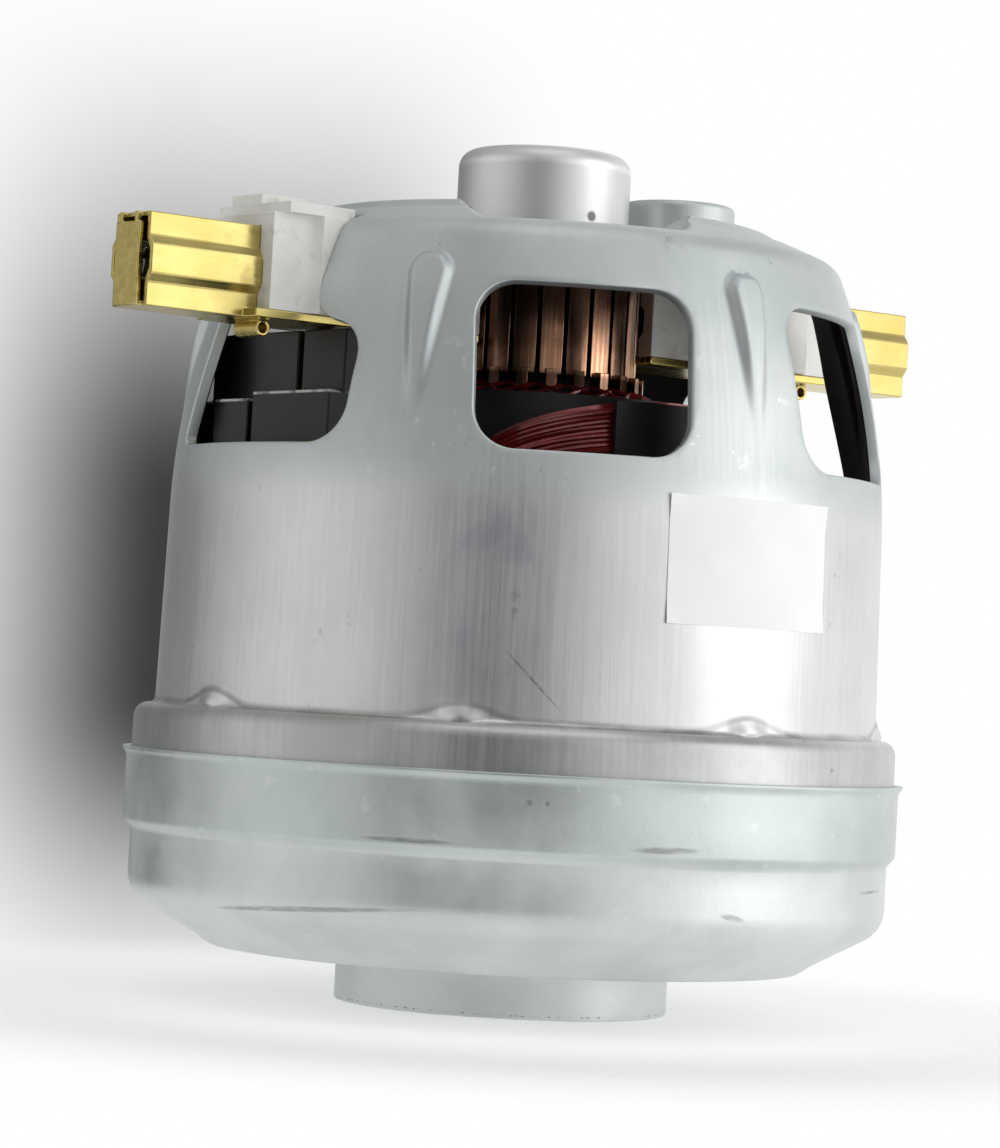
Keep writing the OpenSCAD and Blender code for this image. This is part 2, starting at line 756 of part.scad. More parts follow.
// Insulating bobbin of a field coil: a wall round the pole tip, with a base and an outer tab past each end
module bobbin_end() {
  base_arc = core_angle - 15;
  foot = stack_top + seat_fit;
  sector(bobbin_r + bobbin_t / 2, bobbin_tab_r + bobbin_t + 0.3, foot, bobbin_t, -90 - base_arc, base_arc - 90);
  sector(bobbin_tab_r, bobbin_tab_r + bobbin_t, foot + bobbin_t / 2, bobbin_h - tab_down - bobbin_t / 2, -90 - bobbin_tab, bobbin_tab - 90);
}
module bobbin() {
  wall_h = stack_h + 2 * (bobbin_h + seat_fit);
  pole_side = 0.3;
  union() {
    difference() {
      sector(bobbin_r, bobbin_r + bobbin_t, stack_mid - wall_h / 2, wall_h, -90 - bobbin_arc, bobbin_arc - 90);
      translate([-pole_w / 2 - pole_side, -2 * bobbin_r, stack_bot - seat_fit - bobbin_t / 2])
        cube([pole_w + 2 * pole_side, 2 * bobbin_r, stack_h + 2 * seat_fit + bobbin_t]);
    }
    bobbin_end();
    translate([0, 0, 2 * stack_mid])
      mirror([0, 0, 1])
        bobbin_end();
  }
}
module bobbin_front() {
  color("#1c1c1e") bobbin();
}
module bobbin_rear() {
  color("#1c1c1e") rotate([0, 0, 180]) bobbin();
}

// Stepped insulating block on the stack under the left brush
block_gap = 4.66;
block_t = 7.4;
block_front = wall_r(sill_z) - sheet_t - block_gap;
block_back = block_front - block_t;
block_step = 2.2;
block_from = -9.5;
block_to = 15.5;
block_seam = 7.5;
block_reach = 3.5;
block_foot_reach = 6;
module terminal_block() {
  foot = stack_top + seat_fit;
  ledge_low = sill_z + 6.2;
  ledge_high = sill_z + 7;
  roof = tube_bot - 0.4;
  seam = 1;
  color("#222224")
    difference() {
      union() {
        translate([-block_front, block_from, foot])
          cube([block_front - block_back, block_seam - block_from, ledge_high - foot]);
        translate([-block_front, block_from, foot])
          cube([block_front - block_back, block_to - block_from, ledge_low - foot]);
        translate([block_step - block_front, block_from, foot])
          cube([block_front - block_back - block_step, block_to - block_from, roof - foot]);
        translate([block_step + 0.6 - block_front, block_to - 1, foot])
          cube([block_front - block_back - block_step - 0.6, block_reach + 1, roof - foot]);
        translate([block_step - block_front, block_to - 1, foot])
          cube([block_front - block_back - block_step, block_foot_reach + 1, ledge_low - foot]);
      }
      translate([-block_front - 1, block_seam - seam / 2, foot - 1])
        cube([1 + seam, seam, ledge_high - foot + 2]);
      translate([block_step - block_front - 1, -seam / 2, ledge_high])
        cube([1 + seam, seam, roof - ledge_high + 1]);
    }
}

// Two flat terminals that stand on the rear bobbin, behind the rear windows
terminal_w = 4.8;
terminal_t = 0.8;
terminal_h = 7;
module supply_terminals() {
  foot = stack_top + seat_fit + bobbin_h - tab_down;
  color("#d6b24a")
    for (s = [-1, 1])
      rotate([0, 0, 90 + s * bobbin_tab * 0.6])
        translate([bobbin_tab_r + bobbin_t / 2 - terminal_t / 2, -terminal_w / 2, foot])
          cube([terminal_t, terminal_w, terminal_h]);
}

// Brush gear

// Section of the brass tube, or of the space in it, grown by g: a box with a bead along each side
function tube_line(g) = let (w = tube_w / 2 + g, h = tube_h / 2 + g, b = bead_h / 2 + g * 0.4, f = bead_h / 2 - bead_d + g * 0.4) [
  [w, -h], [w, -b], [w + bead_d, -f], [w + bead_d, f], [w, b], [w, h],
  [-w, h], [-w, b], [-w - bead_d, f], [-w - bead_d, -f], [-w, -b], [-w, -h]
];
module tube_prism(g, a, b) {
  radial(0, a, b) translate([0, brush_z]) polygon(tube_line(g));
}

// Brass tube with its base strip, folded end tab and curled eye
module brush_tube() {
  eye_r = 1.1;
  eye_x = strip_end - 4;
  eye_l = 5;
  tie_w = 0.6;
  union() {
    difference() {
      tube_prism(0, tube_in, tube_end);
      tube_prism(-tube_t, tube_in - 1, tube_end + 1);
    }
    for (s = [-1, 1])
      translate([strip_in, s > 0 ? tube_w / 2 - tube_t : -strip_w / 2, tube_bot])
        cube([strip_end - strip_in, (strip_w - tube_w) / 2 + tube_t, strip_t]);
    translate([tube_end, -tab_w / 2, tube_bot])
      cube([tab_t, tab_w, tube_h - 2 * tube_t]);
    translate([tube_end - 1, -tab_w / 2, tube_bot])
      cube([1 + tab_t, tab_w, tube_t]);
    for (s = [-1, 1])
      translate([tube_end - 1, s * tab_w * 0.32 - tie_w / 2, tube_top - tube_t])
        cube([1 + tab_t, tie_w, tube_t]);
    for (s = [-1, 1])
      translate([tube_end, s * tab_w * 0.32 - tie_w / 2, tube_top - 3 * tube_t])
        cube([tab_t, tie_w, 3 * tube_t]);
    translate([eye_x, eye_l / 2, tube_bot - eye_r + 0.2])
      rotate([90, 0, 0])
        difference() {
          cylinder(r = eye_r, h = eye_l, $fn = 32);
          translate([0, 0, -1]) cylinder(r = eye_r * 0.55, h = eye_l + 2, $fn = 32);
        }
  }
}
module brush_tube_left() {
  color("#d8b64c") on_side(-1) brush_tube();
}
module brush_tube_right() {
  color("#d8b64c") on_side(1) brush_tube();
}

// Plastic holder round the tube: it fills the housing's notch and carries a lip outside it
module brush_holder() {
  half = strip_w / 2;
  wide = notch_w / 2 - notch_fit;
  flare = wide - half;
  wide_from = notch_in + 1.2;
  wide_to = notch_in + 6;
  rise = holder_top + 1.3;
  ridge_h = 1.5;
  difference() {
    union() {
      translate([holder_in, -half, strip_top])
        cube([holder_end - holder_in, 2 * half, holder_top - strip_top]);
      translate([0, 0, strip_top])
        linear_extrude(rise - strip_top)
          polygon(concat(
            [[wide_from, -wide], [wide_to, -wide]],
            arc(wide_to + flare, -wide, flare, 180, 90, 4),
            [[holder_end, -half], [holder_end, half]],
            arc(wide_to + flare, wide, flare, 270, 180, 4),
            [[wide_to, wide], [wide_from, wide]]
          ));
      translate([holder_end - 1.5 - lip_l, -wide + 0.4, rise])
        cube([lip_l, 2 * wide - 0.8, lip_t]);
      translate([holder_end - 2.5 - lip_l * 0.7, -half, rise + lip_t])
        cube([lip_l * 0.7, half, ridge_h]);
    }
    tube_prism(seat_fit, holder_in - 1, holder_end + 1);
  }
}
module brush_holder_left() {
  color("#e4e3de") on_side(-1) brush_holder();
}
module brush_holder_right() {
  color("#e4e3de") on_side(1) brush_holder();
}

// Carbon brush, hollowed at its end to the commutator's curve
module carbon_brush() {
  difference() {
    translate([0, -brush_w / 2, brush_z - brush_h / 2])
      cube([brush_back, brush_w, brush_h]);
    translate([0, 0, brush_z - brush_h])
      cylinder(r = comm_r + brush_gap, h = 2 * brush_h);
  }
}
module carbon_brush_left() {
  color("#3a3a3c") on_side(-1) carbon_brush();
}
module carbon_brush_right() {
  color("#3a3a3c") on_side(1) carbon_brush();
}

// Coil spring between the brush and the end tab
spring_from = brush_back + 0.05 + spring_wire / 2;
spring_to = tube_end - 0.05 - spring_wire / 2;
spring_places = 12;
spring_path = [for (i = [0:spring_places * spring_n])
  let (a = 360 / spring_places * i, u = i / (spring_places * spring_n))
  [spring_from + u * (spring_to - spring_from), spring_r * cos(a), brush_z + spring_r * sin(a)]
];
module brush_spring() {
  tube(spring_path, spring_wire / 2, [1, 0, 0]);
}
module brush_spring_left() {
  echo(brush_spring_least_gap = self_gap(spring_path, 6, spring_wire));
  color("#9a9a9a") on_side(-1) brush_spring();
}
module brush_spring_right() {
  color("#9a9a9a") on_side(1) brush_spring();
}

// Bearing bracket, its screws and the diffuser

module stator_screws() {
  color("#8c8c8c")
    for (s = [-1, 1])
      translate([0, s * screw_y, bracket_z]) {
        translate([0, 0, -screw_head_h])
          cylinder(r = screw_head_r, h = screw_head_h, $fn = 48);
        cylinder(r = screw_r, h = stack_bot - bracket_z + stack_h * 0.7, $fn = 48);
      }
}

module bearing_bracket() {
  seat = lower_d / 2 + bearing_fit;
  cup_out = seat + bracket_cup_w;
  spoke = 17;
  hole_in = cup_out + 6;
  hole_out = bracket_rim_r - bracket_rim_w - 2.5;
  color("#c2c6c8")
    difference() {
      union() {
        ring(bracket_rim_r - bracket_rim_w, bracket_rim_r, skirt_z, bracket_top - skirt_z);
        ring(seat, bracket_rim_r - eps, bracket_z, bracket_t);
        ring(bracket_hole_r, cup_out, lower_z - bracket_lip_t, lower_w + bracket_lip_t - 1);
        for (s = [-1, 1])
          translate([0, s * screw_y, bracket_z])
            cylinder(r = post_r, h = stack_bot - seat_fit - bracket_z, $fn = 48);
      }
      translate([0, 0, lower_z])
        cylinder(r = seat, h = lower_w + bracket_t);
      for (k = [0:5])
        sector(hole_in, hole_out, bracket_z - 1, bracket_t + 2, 60 * k + spoke / 2 - 30, 60 * k - spoke / 2 + 30);
      for (s = [-1, 1])
        translate([0, s * screw_y, bracket_z - 1])
          cylinder(r = screw_r + seat_fit, h = stack_bot, $fn = 48);
    }
}

// Outline of a swept blade or vane, r0 to r1, that turns by sweep degrees on its way out
function swept(r0, r1, sweep, t) = let (n = 8) concat(
  [for (i = [0:n]) let (u = i / n, r = r0 + (r1 - r0) * u, a = sweep * pow(u, 0.8)) [r * cos(a), r * sin(a)]],
  [for (i = [n:-1:0]) let (u = i / n, r = r0 + (r1 - r0) * u, a = sweep * pow(u, 0.8) + t / r * 180 / PI) [r * cos(a), r * sin(a)]]
);

// Diffuser plate on the cover's ledge, with air gaps round its edge and return vanes on top
module diffuser() {
  plate_r = fan_band_r - cover_t - 4.2;
  rim_in = fan_band_r - cover_t - 1.8;
  vane_out = screw_y - screw_head_r - 0.4;
  vane_in = lower_d / 2 + bracket_cup_w + 1.4;
  bridge_w = 5;
  color("#2b2b2e")
    union() {
      ring(fan_washer_r - 2, plate_r, diffuser_z, diffuser_t);
      ring(rim_in, rim_r - cover_t - cover_fit, ledge_z, diffuser_rim_t);
      for (k = [0:vane_n - 1])
        rotate([0, 0, 360 / vane_n * k]) {
          radial(0, plate_r - 1, rim_in + 0.5)
            translate([-bridge_w / 2, ledge_z])
              square([bridge_w, diffuser_z + diffuser_t - ledge_z]);
          translate([0, 0, diffuser_z + diffuser_t - 0.2])
            linear_extrude(vane_h + 0.2)
              polygon(swept(vane_in, vane_out, 38, 1));
        }
    }
}

module inlet_seal() {
  color("#3d3d3d") ring(eye_r + fan_t + seal_gap, eye_r + fan_t + seal_gap + seal_w, seal_z, seal_h);
}

// Dished washer that loads the upper bearing
module preload_washer() {
  dish = 0.3;
  color("#a8a8a8")
    translate([0, 0, upper_top])
      rotate_extrude()
        polygon([
          [upper_d / 2 - 3, dish], [upper_d / 2 - 0.3, 0], [upper_d / 2 - 0.3, washer_h - dish],
          [upper_d / 2 - 3, washer_h]
        ]);
}

// Ball bearings; b holds [bore radius, outer radius, width, level of the lower face]
upper_b = [seat_r, upper_d / 2, upper_w, upper_bot];
lower_b = [shaft_r, lower_d / 2, lower_w, lower_z];
function pitch(b) = (b[0] + b[1]) / 2;
function ball_r(b) = (b[1] - b[0]) * 0.265;
function middle(b) = b[3] + b[2] / 2;
race_land = 0.6;
shield_t = 0.3;

module race(b, inner) {
  land = ball_r(b) * race_land;
  a = inner ? b[0] + shaft_fit : pitch(b) + land;
  o = inner ? pitch(b) - land : b[1];
  translate([0, 0, middle(b)])
    rotate_extrude()
      difference() {
        translate([a, -b[2] / 2]) square([o - a, b[2]]);
        translate([pitch(b), 0]) circle(r = ball_r(b) + ball_clear);
      }
}
module balls(b) {
  for (k = [0:ball_n - 1])
    rotate([0, 0, 360 / ball_n * k])
      translate([pitch(b), 0, middle(b)])
        sphere(r = ball_r(b), $fn = 40);
}
module cage(b) {
  half_w = ball_r(b) * 0.35;
  play = 0.1;
  difference() {
    ring(pitch(b) - half_w, pitch(b) + half_w, middle(b) + 0.2, ball_r(b) + 0.4);
    for (k = [0:ball_n - 1])
      rotate([0, 0, 360 / ball_n * k])
        translate([pitch(b), 0, middle(b)])
          sphere(r = ball_r(b) + play, $fn = 40);
  }
}
module shields(b) {
  land = ball_r(b) * race_land;
  for (s = [-1, 1])
    ring(pitch(b) - land + 0.25, pitch(b) + land - eps, middle(b) + s * (b[2] / 2 - shield_t) - shield_t / 2, shield_t);
}
module upper_bearing_outer() {
  color("#c9ccd0") race(upper_b, false);
}
module upper_bearing_inner() {
  color("#c9ccd0") race(upper_b, true);
}
module upper_bearing_balls() {
  color("#dfe2e6") balls(upper_b);
}
module upper_bearing_cage() {
  color("#7d5f3c") cage(upper_b);
}
module upper_bearing_shields() {
  color("#b5b8bc") shields(upper_b);
}
module lower_bearing_outer() {
  color("#c9ccd0") race(lower_b, false);
}
module lower_bearing_inner() {
  color("#c9ccd0") race(lower_b, true);
}
module lower_bearing_balls() {
  color("#dfe2e6") balls(lower_b);
}
module lower_bearing_cage() {
  color("#7d5f3c") cage(lower_b);
}
module lower_bearing_shields() {
  color("#b5b8bc") shields(lower_b);
}

// Rotor

module shaft() {
  color("#b0b3b6")
    union() {
      translate([0, 0, shaft_bot])
        cylinder(r = shaft_r, h = upper_bot - shaft_bot);
      translate([0, 0, upper_bot])
        cylinder(r = seat_r, h = upper_w + 0.2);
    }
}
module upper_collar() {
  color("#8f9295") ring(shaft_r + shaft_fit, shaft_r + 1.1, comm_top + hub_up, upper_bot - comm_top - hub_up);
}
module lower_collar() {
  color("#8f9295") ring(shaft_r + shaft_fit, shaft_r + 2, lower_z + lower_w, arm_bot - end_disc_t - lower_z - lower_w);
}

module armature_core() {
  slot_out = arm_r - 1;
  slot_in = 12.5;
  slot_w = 3.2;
  mouth_w = 1.6;
  color("#77787b")
    translate([0, 0, arm_bot])
      linear_extrude(arm_h)
        difference() {
          circle(r = arm_r);
          circle(r = shaft_r + shaft_fit);
          for (k = [0:arm_slots - 1])
            rotate(360 / arm_slots * k) {
              translate([slot_in, -slot_w / 2]) square([slot_out - slot_in, slot_w]);
              translate([slot_out - 0.5, -mouth_w / 2]) square([3, mouth_w]);
            }
        }
}
module armature_end_discs() {
  disc_r = 12.2;
  color("#b9a06a")
    for (z = [arm_bot - end_disc_t, arm_top])
      ring(shaft_r + shaft_fit, disc_r, z, end_disc_t);
}

// Armature winding: bundles past both ends of the core, joined by a bar in every slot
module armature_winding() {
  bar_r = 1.45;
  color("#6b2a1c")
    union() {
      translate([0, 0, arm_top + end_disc_t + 0.05])
        rotate_extrude()
          polygon(concat([[wind_in, 0]], arc(wind_r - 4, 4, 4, -90, 30, 5), [[wind_in + 2.4, wind_up], [wind_in, wind_up]]));
      translate([0, 0, arm_bot - end_disc_t - 0.05])
        mirror([0, 0, 1])
          rotate_extrude()
            polygon(concat([[wind_in, 0]], arc(wind_r - 3, 2.6, 2.6, -90, 30, 5), [[wind_in + 2, wind_down], [wind_in, wind_down]]));
      for (k = [0:arm_slots - 1])
        rotate([0, 0, 360 / arm_slots * k])
          translate([wind_r - bar_r - 1.2, 0, arm_bot - 2])
            cylinder(r = bar_r, h = arm_h + 4, $fn = 24);
    }
}

module commutator_bars() {
  pitch_a = 360 / comm_n;
  half = (pitch_a - comm_gap / comm_r * 180 / PI) / 2;
  color("#b87345")
    for (k = [0:comm_n - 1])
      union() {
        sector(bar_in, comm_r, comm_bot, comm_h, pitch_a * k - half, pitch_a * k + half);
        sector(comm_r - 1, comm_r + hook_w, comm_bot - hook_h, hook_h + 0.6, pitch_a * k - half * 0.45, pitch_a * k + half * 0.45);
      }
}
module commutator_hub() {
  color("#4a3626") ring(shaft_r + shaft_fit, bar_in - eps, comm_bot - hub_down, comm_h + hub_down + hub_up);
}

// Fan

module fan_spacer() {
  color("#a9acae") ring(shaft_r + shaft_fit, shaft_r + 2.2, back_z + fan_t, lower_z - back_z - fan_t);
}
module impeller_back_plate() {
  color("#cdd1d4") ring(shaft_r + shaft_fit, fan_r, back_z, fan_t);
}
module impeller_front_plate() {
  lip_down = front_z - seal_z - 0.7;
  color("#cdd1d4")
    union() {
      ring(eye_r, fan_r, front_z, fan_t);
      ring(eye_r, eye_r + fan_t, front_z - lip_down, lip_down + fan_t);
    }
}
module impeller_blades() {
  color("#cdd1d4")
    for (k = [0:blade_n - 1])
      rotate([0, 0, 360 / blade_n * k])
        translate([0, 0, front_z + fan_t])
          linear_extrude(blade_h)
            polygon(swept(eye_r + 2, fan_r - 0.3, -52, blade_t));
}
module fan_washer() {
  color("#9fa2a5") ring(shaft_r + shaft_fit, fan_washer_r, washer_z, fan_washer_t);
}
module fan_nut() {
  color("#9fa2a5")
    translate([0, 0, nut_z])
      difference() {
        cylinder(r = nut_af / sqrt(3), h = nut_h, $fn = 6);
        translate([0, 0, -1]) cylinder(r = shaft_r + shaft_fit, h = nut_h + 2);
      }
}

motor_housing();
fan_cover();
label();
stator_core();
field_coil_front();
field_coil_rear();
bobbin_front();
bobbin_rear();
terminal_block();
supply_terminals();
brush_holder_left();
brush_holder_right();
brush_tube_left();
brush_tube_right();
carbon_brush_left();
carbon_brush_right();
brush_spring_left();
brush_spring_right();
stator_screws();
bearing_bracket();
diffuser();
inlet_seal();
preload_washer();
upper_bearing_outer();
upper_bearing_shields();
upper_bearing_inner();
upper_bearing_balls();
upper_bearing_cage();
lower_bearing_outer();
lower_bearing_shields();
lower_bearing_inner();
lower_bearing_balls();
lower_bearing_cage();
shaft();
upper_collar();
lower_collar();
armature_core();
armature_end_discs();
armature_winding();
commutator_bars();
commutator_hub();
fan_spacer();
impeller_back_plate();
impeller_front_plate();
impeller_blades();
fan_washer();
fan_nut();
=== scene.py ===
import bpy
import bmesh
import math
import numpy as np
from mathutils import Matrix, Vector, geometry, kdtree


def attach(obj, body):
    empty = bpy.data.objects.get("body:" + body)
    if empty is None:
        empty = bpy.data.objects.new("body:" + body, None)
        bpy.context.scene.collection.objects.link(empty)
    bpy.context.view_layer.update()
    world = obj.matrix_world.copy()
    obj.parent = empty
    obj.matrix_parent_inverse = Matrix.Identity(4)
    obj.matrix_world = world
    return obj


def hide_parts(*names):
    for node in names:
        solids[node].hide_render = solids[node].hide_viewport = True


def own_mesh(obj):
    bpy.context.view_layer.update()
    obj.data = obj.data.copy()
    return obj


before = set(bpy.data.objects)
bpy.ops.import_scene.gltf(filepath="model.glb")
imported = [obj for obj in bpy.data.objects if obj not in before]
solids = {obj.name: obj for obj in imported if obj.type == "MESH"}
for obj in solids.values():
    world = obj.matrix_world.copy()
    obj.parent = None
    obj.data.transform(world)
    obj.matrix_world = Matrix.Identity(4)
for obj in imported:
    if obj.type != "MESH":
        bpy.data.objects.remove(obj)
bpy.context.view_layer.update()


# Fan cover. A pressed cup of thin zinc-coated steel with the inlet neck drawn out of its floor; its turned-out
# lip is pushed over the motor housing's flange. Dull greenish grey, scuffed along the ledge and the lower band.

def link(tree, kind, sockets=None, **settings):
    made = tree.nodes.new(kind)
    for key, value in settings.items():
        setattr(made, key, value)
    for key, value in (sockets or {}).items():
        if isinstance(value, bpy.types.NodeSocket):
            tree.links.new(value, made.inputs[key])
        else:
            made.inputs[key].default_value = value
    return made


def sums(tree, how, a, b=0.0, c=0.0):
    return link(tree, "ShaderNodeMath", {0: a, 1: b, 2: c}, operation=how).outputs[0]


def times(tree, a, b):
    return sums(tree, "MULTIPLY", a, b)


def most(tree, a, b):
    return sums(tree, "MAXIMUM", a, b)


def spread(tree, value, low, high, to_low=0.0, to_high=1.0):
    return link(tree, "ShaderNodeMapRange", {"Value": value, "From Min": low, "From Max": high, "To Min": to_low,
                "To Max": to_high}, interpolation_type="SMOOTHSTEP").outputs[0]


def grain(tree, where, scale, detail=4.0, rough=0.55):
    return link(tree, "ShaderNodeTexNoise", {"Vector": where, "Scale": scale, "Detail": detail,
                "Roughness": rough}).outputs["Fac"]


def tint(tree, share, a, b):
    mixed = link(tree, "ShaderNodeMix", {"Factor": share}, data_type="RGBA")
    for socket, value in ((mixed.inputs[6], a), (mixed.inputs[7], b)):
        if isinstance(value, bpy.types.NodeSocket):
            tree.links.new(value, socket)
        else:
            socket.default_value = (*value, 1.0)
    return mixed.outputs[2]


def new_finish(name, metallic, roughness, **shader_values):
    made = bpy.data.materials.new(name)
    made.use_nodes = True
    tree = made.node_tree
    shader = tree.nodes["Principled BSDF"]
    shader.inputs["Metallic"].default_value = metallic
    shader.inputs["Roughness"].default_value = roughness
    for key, value in shader_values.items():
        shader.inputs[key].default_value = value
    place = link(tree, "ShaderNodeTexCoord").outputs["Object"]
    return made, tree, shader, place


def drive(tree, shader, socket, value):
    tree.links.new(value, shader.inputs[socket])


def colour(tree, shader, value):
    drive(tree, shader, "Base Color", value)


def mottled(tree, cloud, a, b):
    return tint(tree, spread(tree, cloud, 0.3, 0.7), a, b)


def gloss(tree, shader, cloud, low, high):
    drive(tree, shader, "Roughness", spread(tree, cloud, 0.3, 0.7, low, high))


def dents(tree, shader, height, strength, distance):
    raised = link(tree, "ShaderNodeBump", {"Height": height, "Strength": strength, "Distance": distance})
    drive(tree, shader, "Normal", raised.outputs[0])


def round_shaft(tree, place):
    """Angle about the shaft in radians and height in mm, for drawn and turned metal."""
    parts = link(tree, "ShaderNodeSeparateXYZ", {0: place}).outputs
    turn = sums(tree, "ARCTAN2", parts[1], parts[0])
    up = times(tree, parts[2], 1000.0)
    return turn, up


def streaks(tree, turn, up, round_scale, up_scale, scale=1.0, detail=3.0):
    where = link(tree, "ShaderNodeCombineXYZ", {0: times(tree, turn, round_scale),
                 1: times(tree, up, up_scale), 2: 0.37}).outputs[0]
    return grain(tree, where, scale, detail)


def rubbed(tree, turn, up, phi, z, half_turn, half_up, tilt=0.0):
    """Soft oval mask on a surface round the shaft: phi and half_turn in degrees, z and half_up in mm."""
    off = sums(tree, "SUBTRACT", turn, math.radians(phi))
    across = sums(tree, "DIVIDE", off, math.radians(half_turn))
    level = sums(tree, "SUBTRACT", sums(tree, "SUBTRACT", up, z), times(tree, off, tilt))
    along = sums(tree, "DIVIDE", level, half_up)
    far = sums(tree, "ADD", sums(tree, "POWER", across, 2.0), sums(tree, "POWER", along, 2.0))
    return spread(tree, far, 1.0, 0.25)


def add_piece(name, points, faces, finishes, body, stands_for=(), crease=32.0):
    mesh = bpy.data.meshes.new(name)
    mesh.from_pydata([tuple(float(c) * 0.001 for c in p) for p in points], [], faces)
    return settle(name, mesh, finishes, body, stands_for, crease)


def put(made):
    bpy.context.scene.collection.objects.link(made)


def settle(name, mesh, finishes, body, stands_for, crease):
    work = bmesh.new()
    work.from_mesh(mesh)
    bmesh.ops.remove_doubles(work, verts=work.verts, dist=2e-6)
    bmesh.ops.recalc_face_normals(work, faces=work.faces)
    limit = math.radians(crease)
    for face in work.faces:
        face.smooth = True
    for edge in work.edges:
        edge.smooth = len(edge.link_faces) == 2 and edge.calc_face_angle(0.0) < limit
    work.to_mesh(mesh)
    work.free()
    mesh.materials.clear()
    for finish in finishes:
        mesh.materials.append(finish)
    made = bpy.data.objects.new(name, mesh)
    put(made)
    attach(made, body)
    if stands_for:
        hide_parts(*stands_for)
    return made


def bend(cx, cy, r, start, stop, n):
    return [(cx + r * math.cos(math.radians(start + (stop - start) * i / n)),
             cy + r * math.sin(math.radians(start + (stop - start) * i / n))) for i in range(n + 1)]


def turned(outline, n, x=0.0):
    """Points and faces of a closed outline of (radius, height) turned about an upright axis."""
    points, faces = [], []
    for k in range(n):
        a = math.tau * k / n
        points += [(x + r * math.cos(a), r * math.sin(a), z) for r, z in outline]
    m = len(outline)
    for k in range(n):
        for i in range(m):
            j, q = (i + 1) % m, (k + 1) % n
            faces.append((k * m + i, q * m + i, q * m + j, k * m + j))
    return points, faces


zinc, tree, shader, place = new_finish("zinc_coated_sheet", 0.9, 0.45)
turn, up = round_shaft(tree, place)
cloud = grain(tree, place, 60.0, 5.0)
fine = grain(tree, place, 900.0, 3.0)
upper = mottled(tree, cloud, (0.52, 0.575, 0.55), (0.66, 0.715, 0.69))
lower = mottled(tree, cloud, (0.61, 0.645, 0.63), (0.75, 0.78, 0.77))
base = tint(tree, spread(tree, up, 20.6, 22.4), lower, upper)
pale = spread(tree, grain(tree, place, 330.0, 2.0, 0.7), 0.66, 0.74)
base = tint(tree, times(tree, pale, 0.35), base, (0.8, 0.83, 0.82))
broken = spread(tree, streaks(tree, turn, up, 9.0, 0.9, 2.0), 0.28, 0.62, 0.35, 1.0)
scuffs = [(-158.5, 13.75, 20.0, 0.4, 3.1), (-143.0, 23.05, 7.5, 0.34, 0.0), (-107.0, 23.4, 6.0, 0.5, 1.0),
          (-95.2, 15.4, 2.6, 0.5, -9.0), (-126.4, 28.4, 0.45, 0.45, 0.0), (-124.0, 28.4, 0.4, 0.4, 0.0),
          (-60.0, 18.4, 6.0, 0.25, 0.5), (40.0, 14.0, 9.0, 0.4, -2.0), (118.0, 23.2, 7.0, 0.35, 0.4)]
dark = None
for phi, z, wide, high, tilt in scuffs:
    one = rubbed(tree, turn, up, phi, z, wide, high, tilt)
    dark = one if dark is None else most(tree, dark, one)
nicks = spread(tree, sums(tree, "ADD", sums(tree, "ABSOLUTE", sums(tree, "SUBTRACT", up, 0.5)),
               streaks(tree, turn, up, 40.0, 0.6, 1.5)), 0.5, 0.38)
dark = most(tree, times(tree, times(tree, dark, broken), 0.62), nicks)
base = tint(tree, times(tree, dark, 0.85), base, (0.15, 0.145, 0.14))
colour(tree, shader, base)
drive(tree, shader, "Roughness", spread(tree, cloud, 0.25, 0.75, 0.36, 0.54))
dents(tree, shader, sums(tree, "ADD", times(tree, cloud, 1.6), fine), 0.25, 0.00012)

COVER_T, NECK_R, NECK_H, BAND_R, LEDGE_Z, LIP_Z, RIM_R = 0.6, 21.95, 6.6, 49.9, 22.2, 31.8, 50.95
STEP_R, STEP_Z, CORNER_R, SLOPE = 40.2, 7.5, 4.5, math.radians(29)
bend_r = BAND_R - CORNER_R * (1 - math.cos(math.pi / 2 - SLOPE))
corner_z = STEP_Z + (bend_r - STEP_R) * math.tan(SLOPE) + CORNER_R * math.sin(math.pi / 2 - SLOPE)


def cover_side(t):
    line = [(NECK_R - t, 0.15), (NECK_R - t, 0.4), (NECK_R - t, 1.4), (NECK_R - t, 3.6)]
    line += bend(NECK_R + 0.9, NECK_H - 0.9, 0.9 + t, 180, 90, 6)
    line += [(30.0, NECK_H + t), (STEP_R - 1.9, NECK_H + t), (STEP_R - 1.1, NECK_H + t + 0.06),
             (STEP_R - 0.3, STEP_Z + t - 0.34), (STEP_R + 0.6, STEP_Z + t * 1.14 + 0.33)]
    line += bend(BAND_R - CORNER_R, corner_z, CORNER_R - t, -61, 0, 14)
    return line


